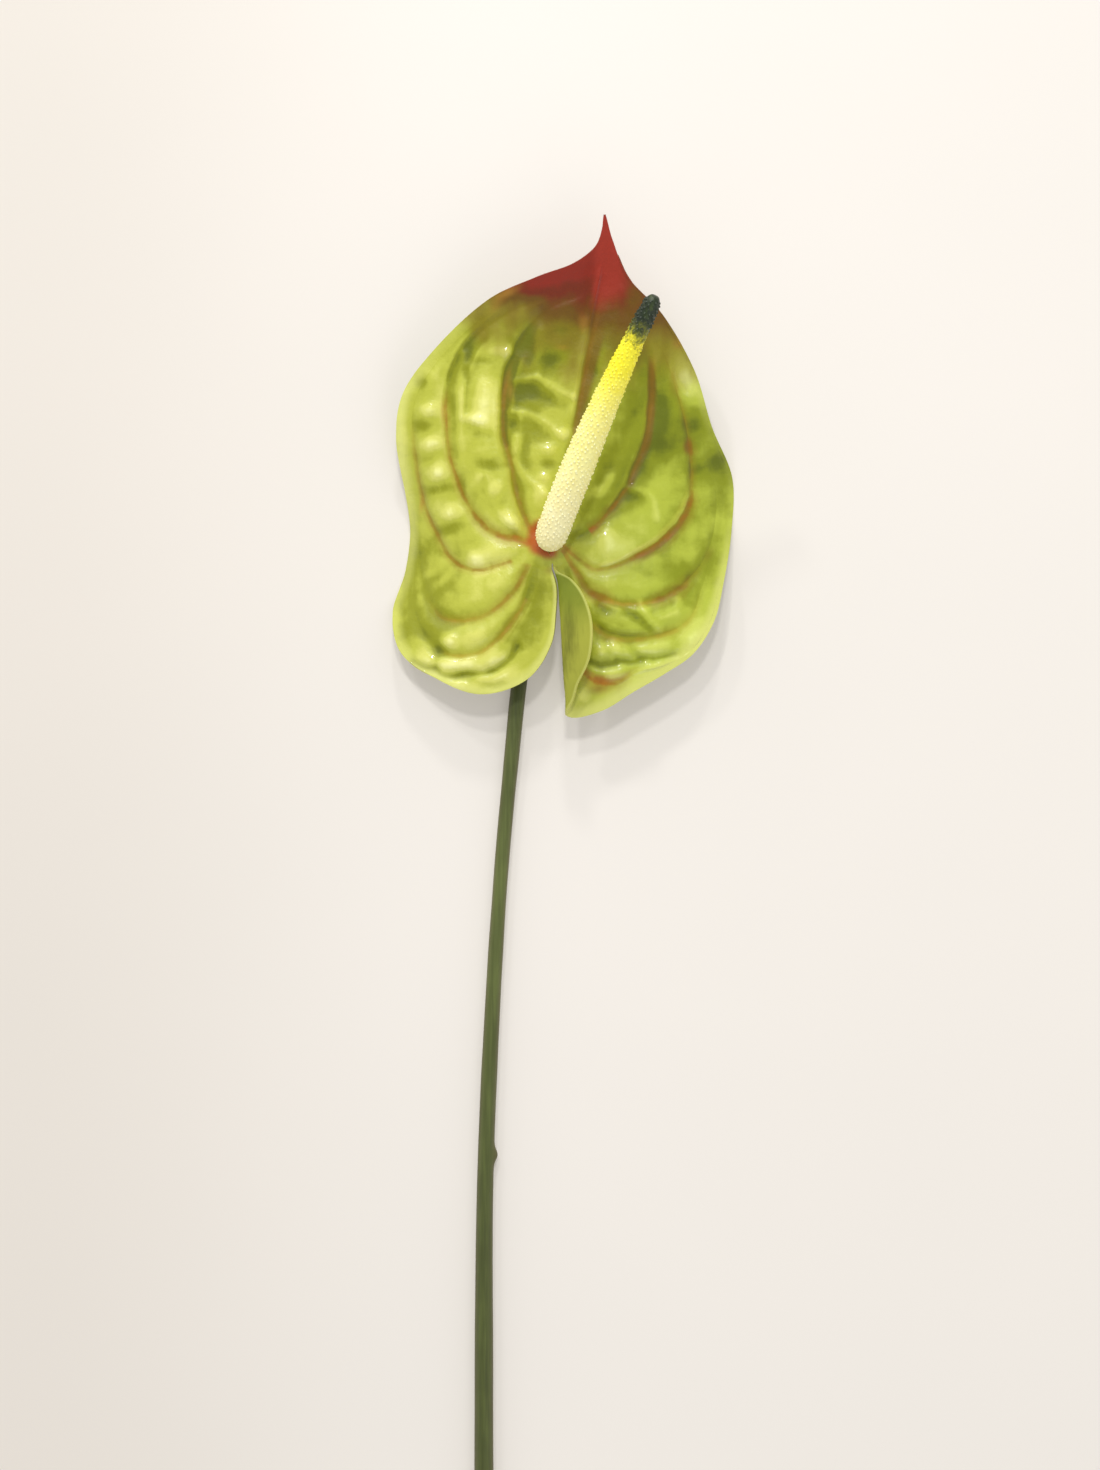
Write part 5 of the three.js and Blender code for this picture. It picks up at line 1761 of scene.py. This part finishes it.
@dataclass
class Peduncle:
    """The stalk: a long, slightly uneven rod with a nub, a cut end and a bend up into the flower.

    The nub, the darker head and the darker foot have their places along y, the neck in height.
    """

    bench: Bench
    rows: int = 820
    sides: int = 36
    line_steps: int = 6000
    nub_y: float = -216.0
    nub_height: float = 1.3
    nub_length: float = 2.6
    nub_narrowness: int = 6
    fibre_count: float = 3.2
    fibre_pace: float = 0.02
    fibre_height: float = 0.07
    wave_size: float = 24.0
    wave_squeeze: tuple[float, float, float] = (0.4, 1, 0.4)
    wave_height: float = 0.08
    plain_foot: Span = (0, 0.01)
    head_along: Span = (-70, -25)
    foot_along: Span = (-140, -260)
    neck_up: Span = (14.5, 17.5)
    side_narrowness: int = 4
    cut_normal_below: float = -0.8
    smooth_up_to_angle: float = 50.0

    def tube(self) -> Tube:
        """The stalk's middle line and directions, from its cut end to its top."""
        lying = [(x, y, float(smooth_table(STALK_RADII, np.array([-y]))[0])) for x, y in STALK_PLAN]
        top = JOINT + NECK_DIRECTION * NECK_ABOVE_JOINT
        points = np.array([*lying, *STALK_RISE, tuple(JOINT), tuple(top)])
        line = catmull_rom(points, np.linspace(0, len(points) - 1, self.line_steps))
        middles, directions = smooth_path(line, self.rows)
        directions[-1] = NECK_DIRECTION
        return Tube(middles, directions, self.sides)

    def build(self) -> bpy.types.Object:
        """Models the stalk and returns its object."""
        tube = self.tube()
        share = np.linspace(0, 1, self.rows)
        radii = smooth_table(STALK_RADII, tube.length * (1 - share))
        surface = tube.surface(radii)
        along = tube.middles[:, None] * (self.fibre_pace, self.fibre_pace, 0)
        fibres = wrinkle(tube.outward() * self.fibre_count + along, 1.0) * self.fibre_height
        waves = wrinkle(tube.middles * self.wave_squeeze, self.wave_size)[:, None] * self.wave_height
        from_nub = (tube.middles[:, 1][:, None] - self.nub_y) / self.nub_length
        sideways = np.maximum(0, np.sin(tube.angles))[None] ** self.nub_narrowness
        nub = self.nub_height * np.exp(-(from_nub**2)) * sideways
        raised = radii[:, None] + (fibres + waves) * smoothstep(share, *self.plain_foot)[:, None] + nub
        raised[:, -1] = raised[:, 0]
        raised[0] = raised[-1] = 0
        net = tube.surface(raised)
        net[..., 2] = np.maximum(net[..., 2], 0)
        sheet = Sheet("stalk_rod", self.sides + 1, self.rows)
        sheet.place(self.bench.metres(net))
        aside = np.abs(np.sin(tube.angles)) ** self.side_narrowness
        sheet.mark("side", np.broadcast_to(aside, raised.shape))
        sheet.mark("head", smoothstep(surface[..., 1], *self.head_along))
        sheet.mark("foot", smoothstep(surface[..., 1], *self.foot_along))
        sheet.mark("neck", smoothstep(net[..., 2], *self.neck_up))
        sheet.object.data.materials.append(StalkSkin().material())
        sheet.object.data.materials.append(CutPith().material())
        sheet.weld()
        cut_y = float(self.bench.metres(tube.middles)[1, 1])
        for face in sheet.object.data.polygons:
            if face.center.y < cut_y and face.normal.y < self.cut_normal_below:
                face.material_index = 1
        sheet.shade(self.smooth_up_to_angle)
        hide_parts("peduncle")
        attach(sheet.object, "root")
        return sheet.object


# ---------------------------------------------------------------- camera and light


@dataclass(frozen=True)
class Lamp:
    """A soft square light: where it comes from, its side and its strength in watts."""

    direction: tuple[float, float, float]
    size: float
    power: float


@dataclass
class Studio:
    """The plain surface, the camera that looks straight down on the flower, and the lights."""

    bench: Bench
    aim: tuple[float, float, float] = (0.0, -63.7, 15.0)
    camera_distance: float = 1400.0
    picture_height: float = 529.2
    floor_size: float = 3000.0
    lamp_distance: float = 1600.0
    sky: Colour = srgb(240, 240, 240)
    sky_low: float = 1.2
    sky_top: float = 0.3
    lamps: tuple[Lamp, ...] = (
        Lamp((0.0, 15.5, 28), 140, 6.5),
        Lamp((0.0, 57.6, 28), 130, 5.1),
        Lamp((-8.0, 26, 28), 100, 4.8),
        Lamp((-23.0, 41, 28), 100, 3.0),
        Lamp((12.0, -26, 30), 800, 2.6),
    )

    def frame_point(self, point: Sequence[float]) -> Vector:
        """Frame coordinates of a point measured from the joint."""
        return Vector(self.bench.metres(np.array(point, float)))

    def build(self) -> None:
        """Adds the surface, the camera, the lights and the sky."""
        bpy.ops.object.select_all(action="DESELECT")
        bpy.ops.mesh.primitive_grid_add(
            x_subdivisions=8, y_subdivisions=8, size=self.floor_size * MILLIMETRE,
            location=self.frame_point((0, self.aim[1], 0)),
        )
        floor = bpy.context.object
        floor.name = "wall"
        floor.data.materials.append(PaleWall().material())
        self.add_camera()
        for number, lamp in enumerate(self.lamps, 1):
            self.add_lamp(number, lamp)
        self.add_sky()
        bpy.context.scene.view_settings.view_transform = "Standard"

    def add_camera(self) -> None:
        """Puts the camera above the aim, the tip of the flower towards the picture's top."""
        x, y, z = self.aim
        bpy.ops.object.camera_add(location=self.frame_point((x, y, z + self.camera_distance)))
        camera = bpy.context.object
        camera.data.sensor_fit = "VERTICAL"
        camera.data.lens = camera.data.sensor_height * self.camera_distance / self.picture_height
        bpy.context.scene.camera = camera

    def add_lamp(self, number: int, lamp: Lamp) -> None:
        """Adds one area light that faces the aim.

        Args:
            number: Its number, for its name.
            lamp: Where it stands, its size and its strength.
        """
        way = Vector(lamp.direction).normalized()
        aim = self.frame_point(self.aim)
        bpy.ops.object.light_add(type="AREA", location=aim + way * self.lamp_distance * MILLIMETRE)
        light = bpy.context.object
        light.name = f"lamp_{number}"
        light.rotation_euler = way.to_track_quat("Z", "Y").to_euler()
        light.data.size = lamp.size * MILLIMETRE
        light.data.energy = lamp.power

    def add_sky(self) -> None:
        """Lights everything from all round, more from low down than from above."""
        world = bpy.data.worlds.new("sky")
        world.use_nodes = True
        nodes, links = world.node_tree.nodes, world.node_tree.links
        background = nodes["Background"]
        background.inputs["Color"].default_value = self.sky
        kinds = ("TexCoord", "SeparateXYZ", "MapRange")
        place, split, fade = (nodes.new(f"ShaderNode{kind}") for kind in kinds)
        fade.inputs["To Min"].default_value = self.sky_low
        fade.inputs["To Max"].default_value = self.sky_top
        links.new(place.outputs["Generated"], split.inputs["Vector"])
        links.new(split.outputs["Z"], fade.inputs["Value"])
        links.new(fade.outputs["Result"], background.inputs["Strength"])
        bpy.context.scene.world = world


# ---------------------------------------------------------------- the whole flower


def main() -> None:
    """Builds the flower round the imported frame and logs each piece."""
    logging.basicConfig(level=logging.INFO, format="%(name)s: %(message)s")
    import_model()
    bench = Bench.from_frame()
    Studio(bench).build()
    LOG.info("studio: one surface, one camera and the lights")
    for part in (Peduncle(bench), Spathe(bench), Spadix(bench)):
        piece = part.build()
        piece.data.calc_loop_triangles()
        LOG.info("%s: %d triangles", piece.name, len(piece.data.loop_triangles))


if __name__ == "__main__":
    main()
